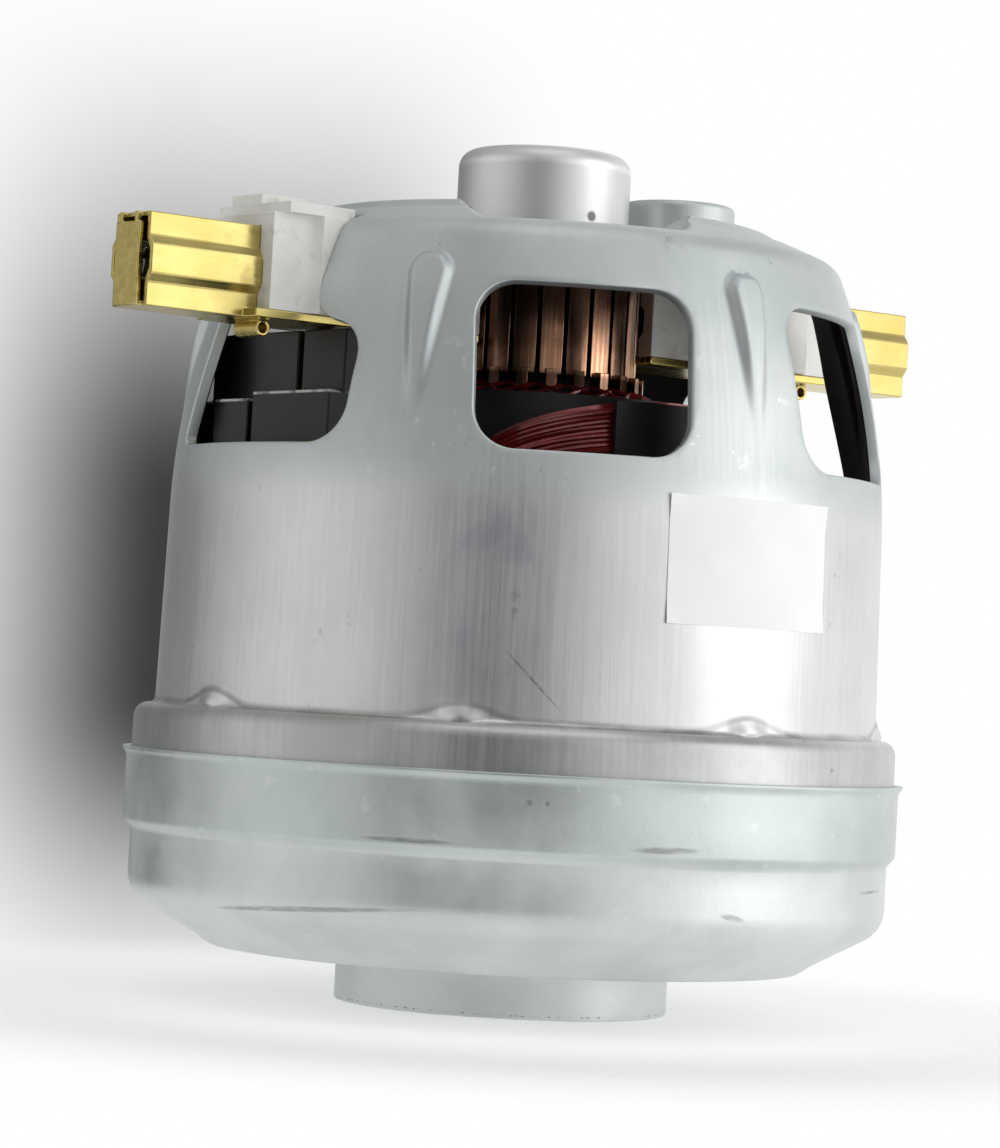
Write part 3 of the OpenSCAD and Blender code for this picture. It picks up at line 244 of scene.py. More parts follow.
outside = [(NECK_R - 0.15, 0.0)] + cover_side(0) + [
    (BAND_R, corner_z + 3.0), (BAND_R, LEDGE_Z - 1.25), (BAND_R + 0.1, LEDGE_Z - 0.95),
    (BAND_R + 0.3, LEDGE_Z - 0.62),
    (RIM_R - 0.3, LEDGE_Z - 0.1), (RIM_R - 0.08, LEDGE_Z + 0.16), (RIM_R, LEDGE_Z + 0.55), (RIM_R, LEDGE_Z + 4.0),
    (RIM_R, LIP_Z - 1.5), (RIM_R + 0.06, LIP_Z - 1.0), (RIM_R + 0.26, LIP_Z - 0.62), (RIM_R + 0.5, LIP_Z - 0.42),
    (RIM_R + 0.55, LIP_Z - 0.3), (RIM_R + 0.55, LIP_Z - 0.08), (RIM_R + 0.47, LIP_Z)]
inside = [(NECK_R - COVER_T + 0.1, 0.0)] + cover_side(COVER_T) + [
    (BAND_R - COVER_T, LEDGE_Z - 0.05), (BAND_R - COVER_T + 0.05, LEDGE_Z), (RIM_R - COVER_T, LEDGE_Z),
    (RIM_R - COVER_T, LIP_Z - 0.1), (RIM_R - COVER_T + 0.1, LIP_Z)]
points, faces = turned(outside + inside[::-1], 288)
add_piece("cover_of_the_fan", points, faces, [zinc], "motor", ["fan_cover"], 40.0)


# Fan and inlet seal. The impeller is two thin aluminium plates with nine swept blades riveted between them, held
# on the shaft by a steel washer and nut; a rubber ring on the cover's floor seals its eye.

def metal_finish(name, dull, bright, roughness, scale=70.0):
    made, tree, shader, place = new_finish(name, 1.0, roughness)
    turn, up = round_shaft(tree, place)
    cloud = grain(tree, place, scale, 5.0)
    rings = streaks(tree, turn, up, 3.0, 5.0, 1.0, 4.0)
    blend = sums(tree, "MULTIPLY_ADD", rings, 0.4, times(tree, cloud, 0.6))
    base = mottled(tree, blend, dull, bright)
    colour(tree, shader, base)
    drive(tree, shader, "Roughness", spread(tree, cloud, 0.2, 0.8, roughness * 0.8, roughness * 1.25))
    dents(tree, shader, sums(tree, "ADD", rings, grain(tree, place, scale * 12.0, 2.0)), 0.18, 0.0001)
    return made


def moulded_finish(name, low, high, roughness, scale=240.0):
    made, tree, shader, place = new_finish(name, 0.0, roughness)
    cloud = grain(tree, place, scale * 0.25, 4.0)
    skin = grain(tree, place, scale * 9.0, 2.0)
    colour(tree, shader, mottled(tree, cloud, low, high))
    patches = grain(tree, place, scale, 3.0)
    gloss(tree, shader, patches, roughness * 0.85, roughness * 1.2)
    dents(tree, shader, sums(tree, "ADD", skin, cloud), 0.2, 0.00008)
    return made


def paint(finish, *names):
    for name in names:
        for place_of in solids[name].material_slots:
            place_of.material = finish


fan_metal = metal_finish("rolled_fan_aluminium", (0.58, 0.59, 0.6), (0.74, 0.75, 0.76), 0.3)
screw_metal = metal_finish("zinc_plated_steel", (0.42, 0.43, 0.45), (0.62, 0.63, 0.64), 0.34, 200.0)
shaft_metal = metal_finish("ground_shaft_steel", (0.46, 0.47, 0.48), (0.63, 0.64, 0.65), 0.2, 160.0)
ring_metal = metal_finish("polished_bearing_steel", (0.55, 0.56, 0.57), (0.7, 0.71, 0.72), 0.14, 130.0)
rubber = moulded_finish("black_seal_rubber", (0.012, 0.012, 0.012), (0.028, 0.028, 0.028), 0.75)
paint(fan_metal, "impeller_back_plate", "impeller_blades", "impeller_front_plate")
paint(screw_metal, "fan_washer", "fan_nut", "fan_spacer", "stator_screws", "preload_washer")
paint(rubber, "inlet_seal")


# Diffuser, bearing bracket, bearings and shaft. The diffuser is a black moulded plate with return vanes on the
# cover's ledge; the bracket is a cast aluminium spider that carries the lower of two shielded ball bearings.

cast_metal = metal_finish("cast_bracket_aluminium", (0.4, 0.41, 0.42), (0.56, 0.57, 0.57), 0.5, 150.0)
black_moulding = moulded_finish("black_glass_filled_moulding", (0.005, 0.005, 0.006), (0.012, 0.012, 0.013), 0.45)
cage_moulding = moulded_finish("brown_cage_moulding", (0.16, 0.09, 0.04), (0.24, 0.14, 0.07), 0.45)
paint(black_moulding, "diffuser")
paint(cast_metal, "bearing_bracket")
for bearing in ("upper_bearing_", "lower_bearing_"):
    paint(ring_metal, *(bearing + part for part in ("outer", "inner", "balls", "shields")))
    paint(cage_moulding, bearing + "cage")
paint(shaft_metal, "shaft", "upper_collar", "lower_collar")


# Stator core and its insulation. The core is a stack of stamped steel sheets; two black bobbins sit over its poles,
# a black block insulates it under the left brush, and two tinned terminals stand on the rear bobbin.

def dressed(node, finish, body, width=0.15, steps=2, crease=30.0, reshape=None):
    """A copy of a solid's mesh with its flat faces joined again and its edges broken, in place of the solid."""
    mesh = solids[node].data.copy()
    work = bmesh.new()
    work.from_mesh(mesh)
    bmesh.ops.remove_doubles(work, verts=work.verts, dist=2e-6)
    bmesh.ops.dissolve_limit(work, angle_limit=math.radians(0.6), use_dissolve_boundaries=False,
                             verts=work.verts, edges=work.edges)
    if reshape:
        for v in work.verts:
            v.co = reshape(v.co * 1000) * 0.001
    work.to_mesh(mesh)
    work.free()
    made = settle(node + "_finished", mesh, [finish], body, [node], crease)
    worn = made.modifiers.new("broken_edges", "BEVEL")
    worn.width = width * 0.001
    worn.segments = steps
    worn.limit_method = "ANGLE"
    worn.angle_limit = math.radians(crease)


sheets, tree, shader, place = new_finish("stacked_steel_sheets", 1.0, 0.45)
layers = link(tree, "ShaderNodeTexWave", {"Vector": place, "Scale": 320.0, "Distortion": 1.2, "Detail": 2.0},
              bands_direction="Z").outputs["Fac"]
rust = spread(tree, grain(tree, place, 120.0, 6.0), 0.45, 0.7)
base = tint(tree, layers, (0.1, 0.1, 0.11), (0.26, 0.26, 0.27))
colour(tree, shader, tint(tree, times(tree, rust, 0.5), base, (0.13, 0.07, 0.04)))
drive(tree, shader, "Roughness", spread(tree, rust, 0.0, 1.0, 0.38, 0.7))
dents(tree, shader, layers, 0.35, 0.00015)
paint(sheets, "stator_core", "armature_core")

tinned = metal_finish("tinned_brass_terminal", (0.62, 0.6, 0.55), (0.78, 0.77, 0.73), 0.26)
paint(tinned, "supply_terminals")
block_moulding, tree, shader, place = new_finish("black_block_moulding", 0.0, 0.36)
parts = link(tree, "ShaderNodeSeparateXYZ", {0: place}).outputs
up = times(tree, parts[2], 1000.0)
cloud = grain(tree, place, 40.0, 4.0)
base = mottled(tree, cloud, (0.005, 0.005, 0.0058), (0.011, 0.011, 0.012))
# Painted highlight: pale, broken lines along the block's ledge edges stand in for light glinting on them.
step_up = spread(tree, times(tree, parts[1], 1000.0), 7.7, 7.3, 0.0, 0.8)
off_edge = sums(tree, "SUBTRACT", up, step_up)
edge = times(tree, spread(tree, off_edge, 76.72, 76.92), spread(tree, off_edge, 77.2, 77.12))
edge = times(tree, edge, spread(tree, grain(tree, place, 350.0, 3.0), 0.36, 0.56))
colour(tree, shader, tint(tree, times(tree, edge, 0.9), base, (0.62, 0.62, 0.6)))
gloss(tree, shader, cloud, 0.3, 0.46)
dents(tree, shader, sums(tree, "ADD", grain(tree, place, 1400.0, 2.0), cloud), 0.12, 0.00008)
for node in ("bobbin_front", "bobbin_rear"):
    dressed(node, black_moulding, "motor", 0.2)


def to_the_wall(p):
    """The block's far end, drawn out to the housing's wall."""
    p.y += 1.0 if 18.5 < p.y < 19.5 else (0.7 if p.y > 21.0 else 0.0)
    return p


dressed("terminal_block", block_moulding, "motor", 0.42, 3, 30.0, to_the_wall)


# Field coils. Each is wound from dark red enamelled copper wire round its bobbin, the end turns arching over the
# stack; three layers of wire lie over a filled core, every wire a little off the true line as a machine lays it.

enamel, tree, shader, place = new_finish("red_wire_enamel", 0.35, 0.24, **{"Coat Weight": 0.9, "Coat Roughness": 0.1})
cloud = grain(tree, place, 140.0, 4.0)
along = grain(tree, place, 1400.0, 2.0)
base = mottled(tree, cloud, (0.11, 0.006, 0.007), (0.3, 0.016, 0.014))
colour(tree, shader, tint(tree, spread(tree, along, 0.62, 0.75), base, (0.45, 0.05, 0.035)))
gloss(tree, shader, cloud, 0.2, 0.34)
dents(tree, shader, along, 0.12, 0.00005)

STACK_MID, STACK_HALF, COIL_R, COIL_HALF_TURN, COIL_RISE = 55.0, 12.0, 31.5, math.radians(42.2), 4.1
COIL_BUILD, LOOP_PLACES = 8.0, 64


def loop_point(radius, out, m):
    """Place m of a loop that lies out mm outside the innermost one, on the winding surface of that radius."""
    half = LOOP_PLACES // 2
    side = 1 if m % LOOP_PLACES < half else -1
    a = math.pi * (m % half) / (half - 1)
    turn = side * (COIL_HALF_TURN * COIL_R + out) * math.cos(a) / COIL_R
    height = side * (STACK_HALF + (COIL_RISE + out) * math.sin(a))
    return Vector((radius * math.sin(turn), -radius * math.cos(turn), STACK_MID + height))


def wire(path, radius, sides):
    """Points and faces of a round wire along a path, carried without twist."""
    points, faces = [], []
    n = len(path)
    frame_up = None
    for i, p in enumerate(path):
        ahead = (path[min(i + 1, n - 1)] - path[max(i - 1, 0)]).normalized()
        if frame_up is None:
            frame_up = ahead.orthogonal().normalized()
        frame_up = (frame_up - ahead * frame_up.dot(ahead)).normalized()
        aside = ahead.cross(frame_up)
        points += [p + radius * (math.cos(a) * frame_up + math.sin(a) * aside)
                   for a in (math.tau * k / sides for k in range(sides))]
    for i in range(n - 1):
        for k in range(sides):
            j = (k + 1) % sides
            faces.append((i * sides + k, i * sides + j, (i + 1) * sides + j, (i + 1) * sides + k))
    faces.append(tuple(range(sides))[::-1])
    faces.append(tuple((n - 1) * sides + k for k in range(sides)))
    return points, faces


def join(points, faces, shape):
    """Adds the points and faces of one more shape to those of a piece."""
    faces += [tuple(len(points) + k for k in face) for face in shape[1]]
    points += shape[0]


def field_winding(name, node, flip):
    points, faces = [], []
    for layer, (radius, loops, shift) in enumerate(((31.52, 12, 0.12), (31.0, 12, 0.4), (30.5, 12, 0.05))):
        path = []
        for i in range(loops * LOOP_PLACES + 1):
            t = i / LOOP_PLACES
            loop = math.floor(t)
            wander = 0.13 * math.sin(2.1 * t + 1.7 * layer + 5.0 * math.sin(0.13 * i))
            wander += 0.09 * math.sin(0.31 * i + 2.2 * loop)
            lift = 0.13 * math.sin(3.3 * loop + 0.11 * i + layer)
            path.append(loop_point(radius + lift, shift + (COIL_BUILD - 0.75) * t / loops + wander * 0.7, i))
        join(points, faces, wire(path, 0.29, 6))
    start = len(points)
    for m in range(LOOP_PLACES):
        corners = ((25.8, 0.0), (30.25, 0.0), (30.25, COIL_BUILD), (25.8, COIL_BUILD))
        points += [loop_point(r, out, m) for r, out in corners]
    for m in range(LOOP_PLACES):
        for k in range(4):
            a, b = start + m * 4, start + (m + 1) % LOOP_PLACES * 4
            faces.append((a + k, b + k, b + (k + 1) % 4, a + (k + 1) % 4))
    if flip:
        points = [(-p[0], -p[1], p[2]) for p in points]
    add_piece(name, points, faces, [enamel], "motor", [node], 55.0)


field_winding("winding_of_front_coil", "field_coil_front", False)
field_winding("winding_of_rear_coil", "field_coil_rear", True)


# Armature and commutator. The armature's copper winding leads up to the hooks of 24 copper bars, which are moulded
# round a dark resin hub on the shaft and are darkened by carbon where the brushes run.

copper, tree, shader, place = new_finish("turned_commutator_copper", 1.0, 0.27)
turn, up = round_shaft(tree, place)
drawn = streaks(tree, turn, up, 34.0, 0.06, 1.0, 3.0)
cloud = grain(tree, place, 160.0, 3.0)
track = times(tree, spread(tree, up, 85.5, 87.2), spread(tree, up, 98.4, 97.0))
base = tint(tree, spread(tree, drawn, 0.34, 0.66), (0.4, 0.2, 0.115), (0.8, 0.47, 0.31))
film = times(tree, track, spread(tree, sums(tree, "ADD", cloud, drawn), 0.75, 1.25, 0.1, 0.6))
base = tint(tree, film, base, (0.17, 0.095, 0.07))
# The bars and their hooks turn darker below 83.6 mm, towards the foot.
foot = times(tree, spread(tree, up, 83.6, 82.6), spread(tree, cloud, 0.35, 0.65, 0.7, 0.95))
colour(tree, shader, tint(tree, foot, base, (0.06, 0.028, 0.02)))
gloss(tree, shader, cloud, 0.16, 0.28)
dents(tree, shader, drawn, 0.12, 0.00005)
dressed("commutator_bars", copper, "rotor", 0.16)

resin = moulded_finish("brown_hub_resin", (0.008, 0.0045, 0.004), (0.016, 0.009, 0.008), 0.6)
paint(resin, "commutator_hub", "armature_end_discs")

LEADS, HOOK_R, HOOK_Z, WIND_R, WIND_TOP = 24, 14.1, 81.4, 17.2, 77.9
points, faces = [], []
for k in range(LEADS):
    a = math.tau * (k + 0.5) / LEADS
    for sweep in (-0.62, 0.5):
        path = []
        for i in range(13):
            u = i / 12
            b = a + sweep * u ** 1.3
            r = HOOK_R - 0.35 + (WIND_R - HOOK_R) * u + 0.9 * math.sin(math.pi * u)
            path.append(Vector((r * math.cos(b), r * math.sin(b), HOOK_Z + (WIND_TOP - HOOK_Z) * u ** 1.6)))
        join(points, faces, wire(path, 0.27, 6))
add_piece("leads_to_the_hooks", points, faces, [enamel], "rotor")

ARM_R, SLOTS = 18.4, 12
points, faces = [], []
for end, (near, far) in enumerate(((68.35, 78.75), (41.65, 35.9))):
    for k in range(SLOTS * 3):
        a0 = math.tau * (k + 0.3 * end) / (SLOTS * 3)
        level = k % 3
        path = []
        for i in range(17):
            u = i / 16
            b = a0 + 2.45 * (u - 0.5)
            r = ARM_R - 0.7 * level - 7.4 * math.sin(math.pi * u) ** 0.8
            z = near + (far - near) * (0.55 + 0.13 * level) * math.sin(math.pi * u) ** 0.6
            path.append(Vector((r * math.cos(b), r * math.sin(b), z)))
        join(points, faces, wire(path, 0.42, 6))
dressed("armature_winding", enamel, "rotor", 0.5, 3)
add_piece("end_turns_of_the_armature", points, faces, [enamel], "rotor")


# Motor housing. One deep-drawn aluminium shell: rolled flange with pressed gussets, drawn barrel, bowed crown with
# six punched windows and raised ribs on the pillars between them, stepped roof, bearing cup and round boss.

drawn_metal, tree, shader, place = new_finish("drawn_aluminium", 1.0, 0.38)
turn, up = round_shaft(tree, place)
cloud = grain(tree, place, 55.0, 5.0)
fine = grain(tree, place, 1100.0, 2.0)
long_lines = streaks(tree, turn, up, 75.0, 0.035, 1.0, 4.0)
short_lines = streaks(tree, turn, up, 190.0, 0.12, 1.0, 3.0)
crown = spread(tree, sums(tree, "MULTIPLY_ADD", cloud, 7.0, up), 66.5, 74.5)
parts = link(tree, "ShaderNodeSeparateXYZ", {0: place}).outputs
squares = sums(tree, "MULTIPLY_ADD", parts[0], parts[0], times(tree, parts[1], parts[1]))
from_axis = times(tree, sums(tree, "SQRT", squares), 1000.0)
cup = times(tree, spread(tree, from_axis, 12.4, 11.7), spread(tree, up, 102.6, 103.6))
crown = times(tree, crown, spread(tree, cup, 1.0, 0.0))
lines = sums(tree, "MULTIPLY_ADD", long_lines, 0.6, times(tree, short_lines, 0.4))
lines = sums(tree, "MULTIPLY_ADD", sums(tree, "SUBTRACT", lines, 0.5), spread(tree, cup, 1.0, 0.0, 0.25, 1.0), 0.5)
blend = sums(tree, "MULTIPLY_ADD", cloud, 0.5, times(tree, lines, 0.5))
bright = tint(tree, spread(tree, blend, 0.36, 0.64), (0.655, 0.655, 0.65), (0.755, 0.755, 0.75))
# A pale, broken band round the cup's rounded rim.
pale_rim_band = times(tree, spread(tree, up, 110.3, 110.8), spread(tree, up, 111.6, 111.0))
bright = tint(tree, times(tree, pale_rim_band, spread(tree, cloud, 0.35, 0.55, 0.2, 0.6)), bright, (0.92, 0.92, 0.92))
dull = mottled(tree, cloud, (0.52, 0.56, 0.558), (0.63, 0.662, 0.66))
base = tint(tree, crown, bright, dull)
near_sill = times(tree, spread(tree, up, 66.0, 71.0), spread(tree, up, 86.0, 77.0))
specks = spread(tree, grain(tree, place, 420.0, 3.0, 0.65), 0.61, 0.7)
patchy = spread(tree, grain(tree, place, 85.0, 2.0), 0.5, 0.66)
base = tint(tree, times(tree, times(tree, specks, patchy), near_sill), base, (0.93, 0.94, 0.94))
blend = sums(tree, "MULTIPLY_ADD", lines, 0.4, cloud)
smeared = times(tree, spread(tree, up, 38.1, 37.0), spread(tree, blend, 0.5, 0.9, 0.85, 0.45))
base = tint(tree, smeared, base, (0.42, 0.42, 0.425))
stain = rubbed(tree, turn, up, -133.0, 54.0, 9.0, 14.0)
stain = times(tree, stain, spread(tree, grain(tree, place, 130.0, 4.0), 0.42, 0.66))
base = tint(tree, times(tree, stain, 0.42), base, (0.40, 0.42, 0.56))
smut = spread(tree, grain(tree, place, 240.0, 4.0, 0.7), 0.66, 0.74)
grime = rubbed(tree, turn, up, -126.8, 43.1, 5.0, 0.3, -47.0)
grime = times(tree, grime, spread(tree, fine, 0.3, 0.6, 0.2, 0.55))
for phi, z, wide, high, depth in ((-76.7, 33.8, 0.5, 0.5, 0.6), (-130.0, 52.0, 1.2, 2.2, 0.3),
                                  (60.0, 50.0, 1.0, 3.0, 0.3), (150.0, 56.0, 2.0, 1.2, 0.3)):
    spot = rubbed(tree, turn, up, phi, z, wide, high)
    grime = most(tree, grime, times(tree, spot, spread(tree, fine, 0.4, 0.62, 0.0, depth)))
for phi in (-5.0, 85.0, 175.0, -95.0):
    pit = rubbed(tree, turn, up, phi, 104.0, 4.2, 0.85)
    grime = most(tree, grime, times(tree, pit, spread(tree, from_axis, 13.0, 12.2)))
# Painted shade: a broken dark line along the crease where the barrel meets the flange, rising over each gusset.
wave = sums(tree, "COSINE", times(tree, sums(tree, "SUBTRACT", turn, math.radians(43)), 8.0))
above = sums(tree, "SUBTRACT", up, times(tree, sums(tree, "POWER", most(tree, wave, 0.0), 3.0), 1.9))
crease_shade = times(tree, spread(tree, above, 37.4, 37.8), spread(tree, above, 38.7, 37.95))
crease_shade = times(tree, crease_shade, spread(tree, streaks(tree, turn, up, 5.0, 0.2, 1.6), 0.36, 0.66, 0.45, 1.0))
dark = most(tree, times(tree, grime, 0.85), times(tree, smut, 0.3))
dark = most(tree, dark, times(tree, crease_shade, 0.5))
base = tint(tree, dark, base, (0.09, 0.085, 0.085))
colour(tree, shader, base)
matt = most(tree, crown, times(tree, cup, 0.5))
rough = sums(tree, "MULTIPLY_ADD", matt, 0.14, spread(tree, lines, 0.3, 0.7, 0.33, 0.4))
drive(tree, shader, "Roughness", rough)
height = sums(tree, "MULTIPLY_ADD", lines, sums(tree, "SUBTRACT", 0.55, times(tree, crown, 0.3)),
              sums(tree, "MULTIPLY_ADD", cloud, 1.0, times(tree, fine, 0.2)))
dents(tree, shader, height, 0.2, 0.00012)

# Painted shade: the inner side of the shell and the inner part of its window edges are coloured near black, standing
# in for the shade inside the motor.
inside_shade_finish, tree, shader, place = new_finish("shaded_inside_of_shell", 0.2, 0.75)
cloud = grain(tree, place, 90.0, 5.0)
base = mottled(tree, cloud, (0.014, 0.013, 0.012), (0.035, 0.033, 0.031))
colour(tree, shader, base)
gloss(tree, shader, cloud, 0.65, 0.9)
dents(tree, shader, grain(tree, place, 700.0, 3.0), 0.3, 0.0001)

SHEET_T, SKIRT_Z, FLANGE_R, FLANGE_Z, BARREL_R, CROWN_Z, SHOULDER_Z = 1.6, 23.8, 50.3, 37.6, 47.6, 64.0, 97.6
DRAFT, BOW, SHOULDER_R, ROOF = math.tan(math.radians(1.15)), 90.0, 4.0, math.radians(21)
CUP_R, CUP_TOP, SILL_Z, NOTCH_IN, NOTCH_W, BOSS_X = 11.46, 113.0, 71.0, 35.5, 16.6, 23.7
RIB_FROM, RIB_TO, RIB_HEAD_Z, RIB_HEAD_R = 74.0, 95.4, 92.4, 2.6
GUSSET_TURN, GUSSET_TOP, GUSSET_HALF = math.radians(43), 40.4, 3.6


def wall_r(z):
    return BARREL_R - (z - FLANGE_Z) * DRAFT - (max(z - CROWN_Z, 0.0) ** 2) / (2 * BOW)


lean = math.atan(DRAFT + (SHOULDER_Z - CROWN_Z) / BOW)
shoulder_cr, shoulder_cz = wall_r(SHOULDER_Z) - SHOULDER_R * math.cos(lean), SHOULDER_Z - SHOULDER_R * math.sin(lean)
roof_r, roof_z = shoulder_cr + SHOULDER_R * math.sin(ROOF), shoulder_cz + SHOULDER_R * math.cos(ROOF)
PLATEAU_H, EDGE_W, FOOT_IN = 1.75, 3.6, 4.63
foot_r = roof_r - FOOT_IN
foot_z = roof_z + FOOT_IN * math.tan(ROOF)
crest_z = foot_z + PLATEAU_H


def steps(a, b, step):
    n = max(1, round(math.dist(a, b) / step))
    return [(a[0] + (b[0] - a[0]) * i / n, a[1] + (b[1] - a[1]) * i / n) for i in range(1, n + 1)]


side = [(FLANGE_R, SKIRT_Z)] + steps((FLANGE_R, SKIRT_Z), (FLANGE_R, 35.7), 1.3)
side += bend(FLANGE_R - 1.9, FLANGE_Z - 1.9, 1.9, 0, 90, 9)[1:]
side += bend(BARREL_R + 0.8, FLANGE_Z + 0.8, 0.8, 270, 180, 5)[1:]
side += [(wall_r(z), z) for z in np.arange(38.7, 41.1, 0.3)]
side += [(wall_r(z), z) for z in np.arange(41.6, 70.0, 1.0)]
side += [(wall_r(z), z) for z in np.arange(70.2, 97.3, 0.7)]
side += bend(shoulder_cr, shoulder_cz, SHOULDER_R, math.degrees(lean), 69, 10)
side += steps((roof_r, roof_z), (foot_r + 0.5, foot_z - 0.1), 0.7)
side += [(foot_r - EDGE_W * u, foot_z + 0.02 + PLATEAU_H * 0.84 * u * u * (3 - 2 * u))
         for u in np.linspace(0.0, 1.0, 10)]
side += steps((foot_r - EDGE_W, foot_z + PLATEAU_H * 0.84), (18.0, crest_z), 0.9)
side += steps((18.0, crest_z), (14.4, crest_z - 0.34), 0.6)
side += [(r, crest_z - drop) for r, drop in ((13.9, 0.46), (13.4, 0.72), (13.0, 0.98), (12.66, 1.14), (12.2, 1.2),
                                            (11.8, 1.16), (11.56, 1.0), (CUP_R, 0.7))]
side += steps((CUP_R, crest_z - 0.7), (CUP_R, CUP_TOP - 2.3), 0.7)
side += bend(CUP_R - 2.3, CUP_TOP - 2.3, 2.3, 0, 90, 10)[1:]
side += steps((CUP_R - 2.3, CUP_TOP), (1.2, CUP_TOP), 0.9)
line_r, line_z = np.array([p[0] for p in side]), np.array([p[1] for p in side])
line_s = np.concatenate([[0.0], np.cumsum(np.hypot(np.diff(line_r), np.diff(line_z)))])
slope_r, slope_z = np.gradient(line_r, line_s), np.gradient(line_z, line_s)
size = np.hypot(slope_r, slope_z)
out_r, out_z = slope_z / size, -slope_r / size
to_roof = int(np.argmin(np.abs(line_r - foot_r) + 100 * (line_z < 99)))
to_shoulder = int(np.argmin(np.abs(line_z - SHOULDER_Z)))


def ease(x):
    x = np.clip(x, 0.0, 1.0)
    return x * x * (3 - 2 * x)


RIBS_AT = (32.5, 88.5, 147.5, 212.5, 268.5, 327.5)


def off_ribs(phi):
    return np.min([np.abs((phi - math.radians(at) + math.pi) % math.tau - math.pi) for at in RIBS_AT], 0)


def pressed(phi, z, r):
    """How far the pressed ribs and gussets stand out of the shell at that angle and height."""
    w = off_ribs(phi) * r
    head = np.sqrt(np.clip(RIB_HEAD_R ** 2 - (z - RIB_HEAD_Z) ** 2, 0.0, None))
    half = np.where(z < RIB_HEAD_Z, 0.75 + (z - 75.0) / 17.4 * 1.85, head)
    tall = 1.25 * ease((z - RIB_FROM) / 15.0)
    rib = tall * ease((np.maximum(half, 0.01) + 0.5 - w) / 1.25) * ease((RIB_TO - z) / 1.2)
    rib = np.where((z > RIB_FROM) & (z < RIB_TO), rib, 0.0)
    near = (phi - GUSSET_TURN) % (math.pi / 4)
    near = np.minimum(near, math.pi / 4 - near) * r
    wave = np.where(near < GUSSET_HALF, np.cos(np.clip(near / GUSSET_HALF, 0, 1) * math.pi / 2) ** 2, 0.0)
    line = BARREL_R - 0.1 + (GUSSET_TOP - z) / 2.8 * 1.25
    gusset = np.clip(line - r, 0.0, None) * wave
    gusset = np.where((z > 37.55) & (z < GUSSET_TOP) & (r < 49.2), gusset, 0.0)
    return rib + gusset


LOW_TURN, LOW_HALF, LOW_SLOPE = math.radians(240), 27.1 / 2 - 0.9, math.radians(4)


def low_roof(r):
    low_r, low_z = shoulder_cr + SHOULDER_R * math.sin(LOW_SLOPE), shoulder_cz + SHOULDER_R * math.cos(LOW_SLOPE)
    arc = shoulder_cz + np.sqrt(np.clip(SHOULDER_R ** 2 - (r - shoulder_cr) ** 2, 0.0, None))
    return np.where(r > low_r, arc, low_z + (low_r - r) * math.tan(LOW_SLOPE))


def lowered(phi, r, z):
    """How far the roof over the front window lies below the rest of it."""
    away = np.abs(r * np.sin(phi - LOW_TURN))
    share = ease((LOW_HALF + (z - roof_z) * 0.38 + 0.8 - away) / 1.6)
    share = np.where((np.cos(phi - LOW_TURN) > 0) & (r < roof_r) & (r > CUP_R + 1.2) & (z > 99.0), share, 0.0)
    return share * np.clip(z - low_roof(r), 0.0, None)


def shell_point(phi, s, depth):
    r, z = np.interp(s, line_s, line_r), np.interp(s, line_s, line_z)
    nr, nz = np.interp(s, line_s, out_r), np.interp(s, line_s, out_z)
    push = pressed(phi, z, r)
    z = z - lowered(phi, r, z)
    rr = r + nr * (push - depth)
    zz = z + nz * (np.where(z > 60, push, 0.0) - depth)
    return np.stack([rr * np.cos(phi), rr * np.sin(phi), zz], -1)


def window_outline(start, stop):
    h, r = 20.9, 5.0
    return bend(stop - r, SILL_Z + r, r, -90, 0, 14) + bend(stop - r, SILL_Z + h - r, r, 0, 90, 14) \
        + bend(start + r, SILL_Z + h - r, r, 90, 180, 14) + bend(start + r, SILL_Z + r, r, 180, 270, 14)


def brush_outline():
    w, top, r, n, f = 33.4 / 2, SILL_Z + 15.5, 5.0, NOTCH_W / 2, 4.5
    right = bend(w - r, SILL_Z + r, r, -90, 0, 14) + bend(w - r, top - r, r, 0, 70, 10)
    right += bend(n + f, top + f, f, 250, 180, 10)
    clear, foot = 13.6, w + 0.7
    left = [(0.7 - foot, SILL_Z), (0.25 - foot, SILL_Z + 0.35)]
    left += [(-clear - (foot - clear) * (1 - k / 12) ** 1.5, top + 1 - 15.3 * (1 - k / 12)) for k in range(13)]
    left += [(-clear, top + 8.2), (-clear + 0.3, top + 8.9), (-clear + 1.0, top + 9.7)]
    left += [(-n - 0.6, top + 11.2), (-n - 0.1, top + 11.9), (-n, top + 12.6)]
    return right, left


def grown(loop, by):
    """The outline drawn outwards by a little, for the rolled edge of a punched hole."""
    pts = np.array(loop)
    ahead = np.roll(pts, -1, 0) - np.roll(pts, 1, 0)
    ahead /= np.linalg.norm(ahead, axis=1)[:, None]
    return pts + by * np.stack([ahead[:, 1], -ahead[:, 0]], -1)


def even(loop, step, closed=True):
    pts = np.array(list(loop) + ([loop[0]] if closed else []))
    run = np.concatenate([[0.0], np.cumsum(np.linalg.norm(np.diff(pts, axis=0), axis=1))])
    n = int(run[-1] / step)
    at = np.linspace(0.0, run[-1], n + 1)[:n if closed else n + 1]
    return np.stack([np.interp(at, run, pts[:, 0]), np.interp(at, run, pts[:, 1])], -1)


z_rise, s_rise = line_z[:to_roof + 1], line_s[:to_roof + 1]
keep = np.concatenate([[True], np.diff(z_rise) > 1e-6])


def on_wall(loop, phi0):
    s = np.interp(loop[:, 1], z_rise[keep], s_rise[keep])
    r = np.interp(s, line_s, line_r)
    return np.stack([phi0 + np.arcsin(np.clip(loop[:, 0] / r, -1, 1)), s], -1)


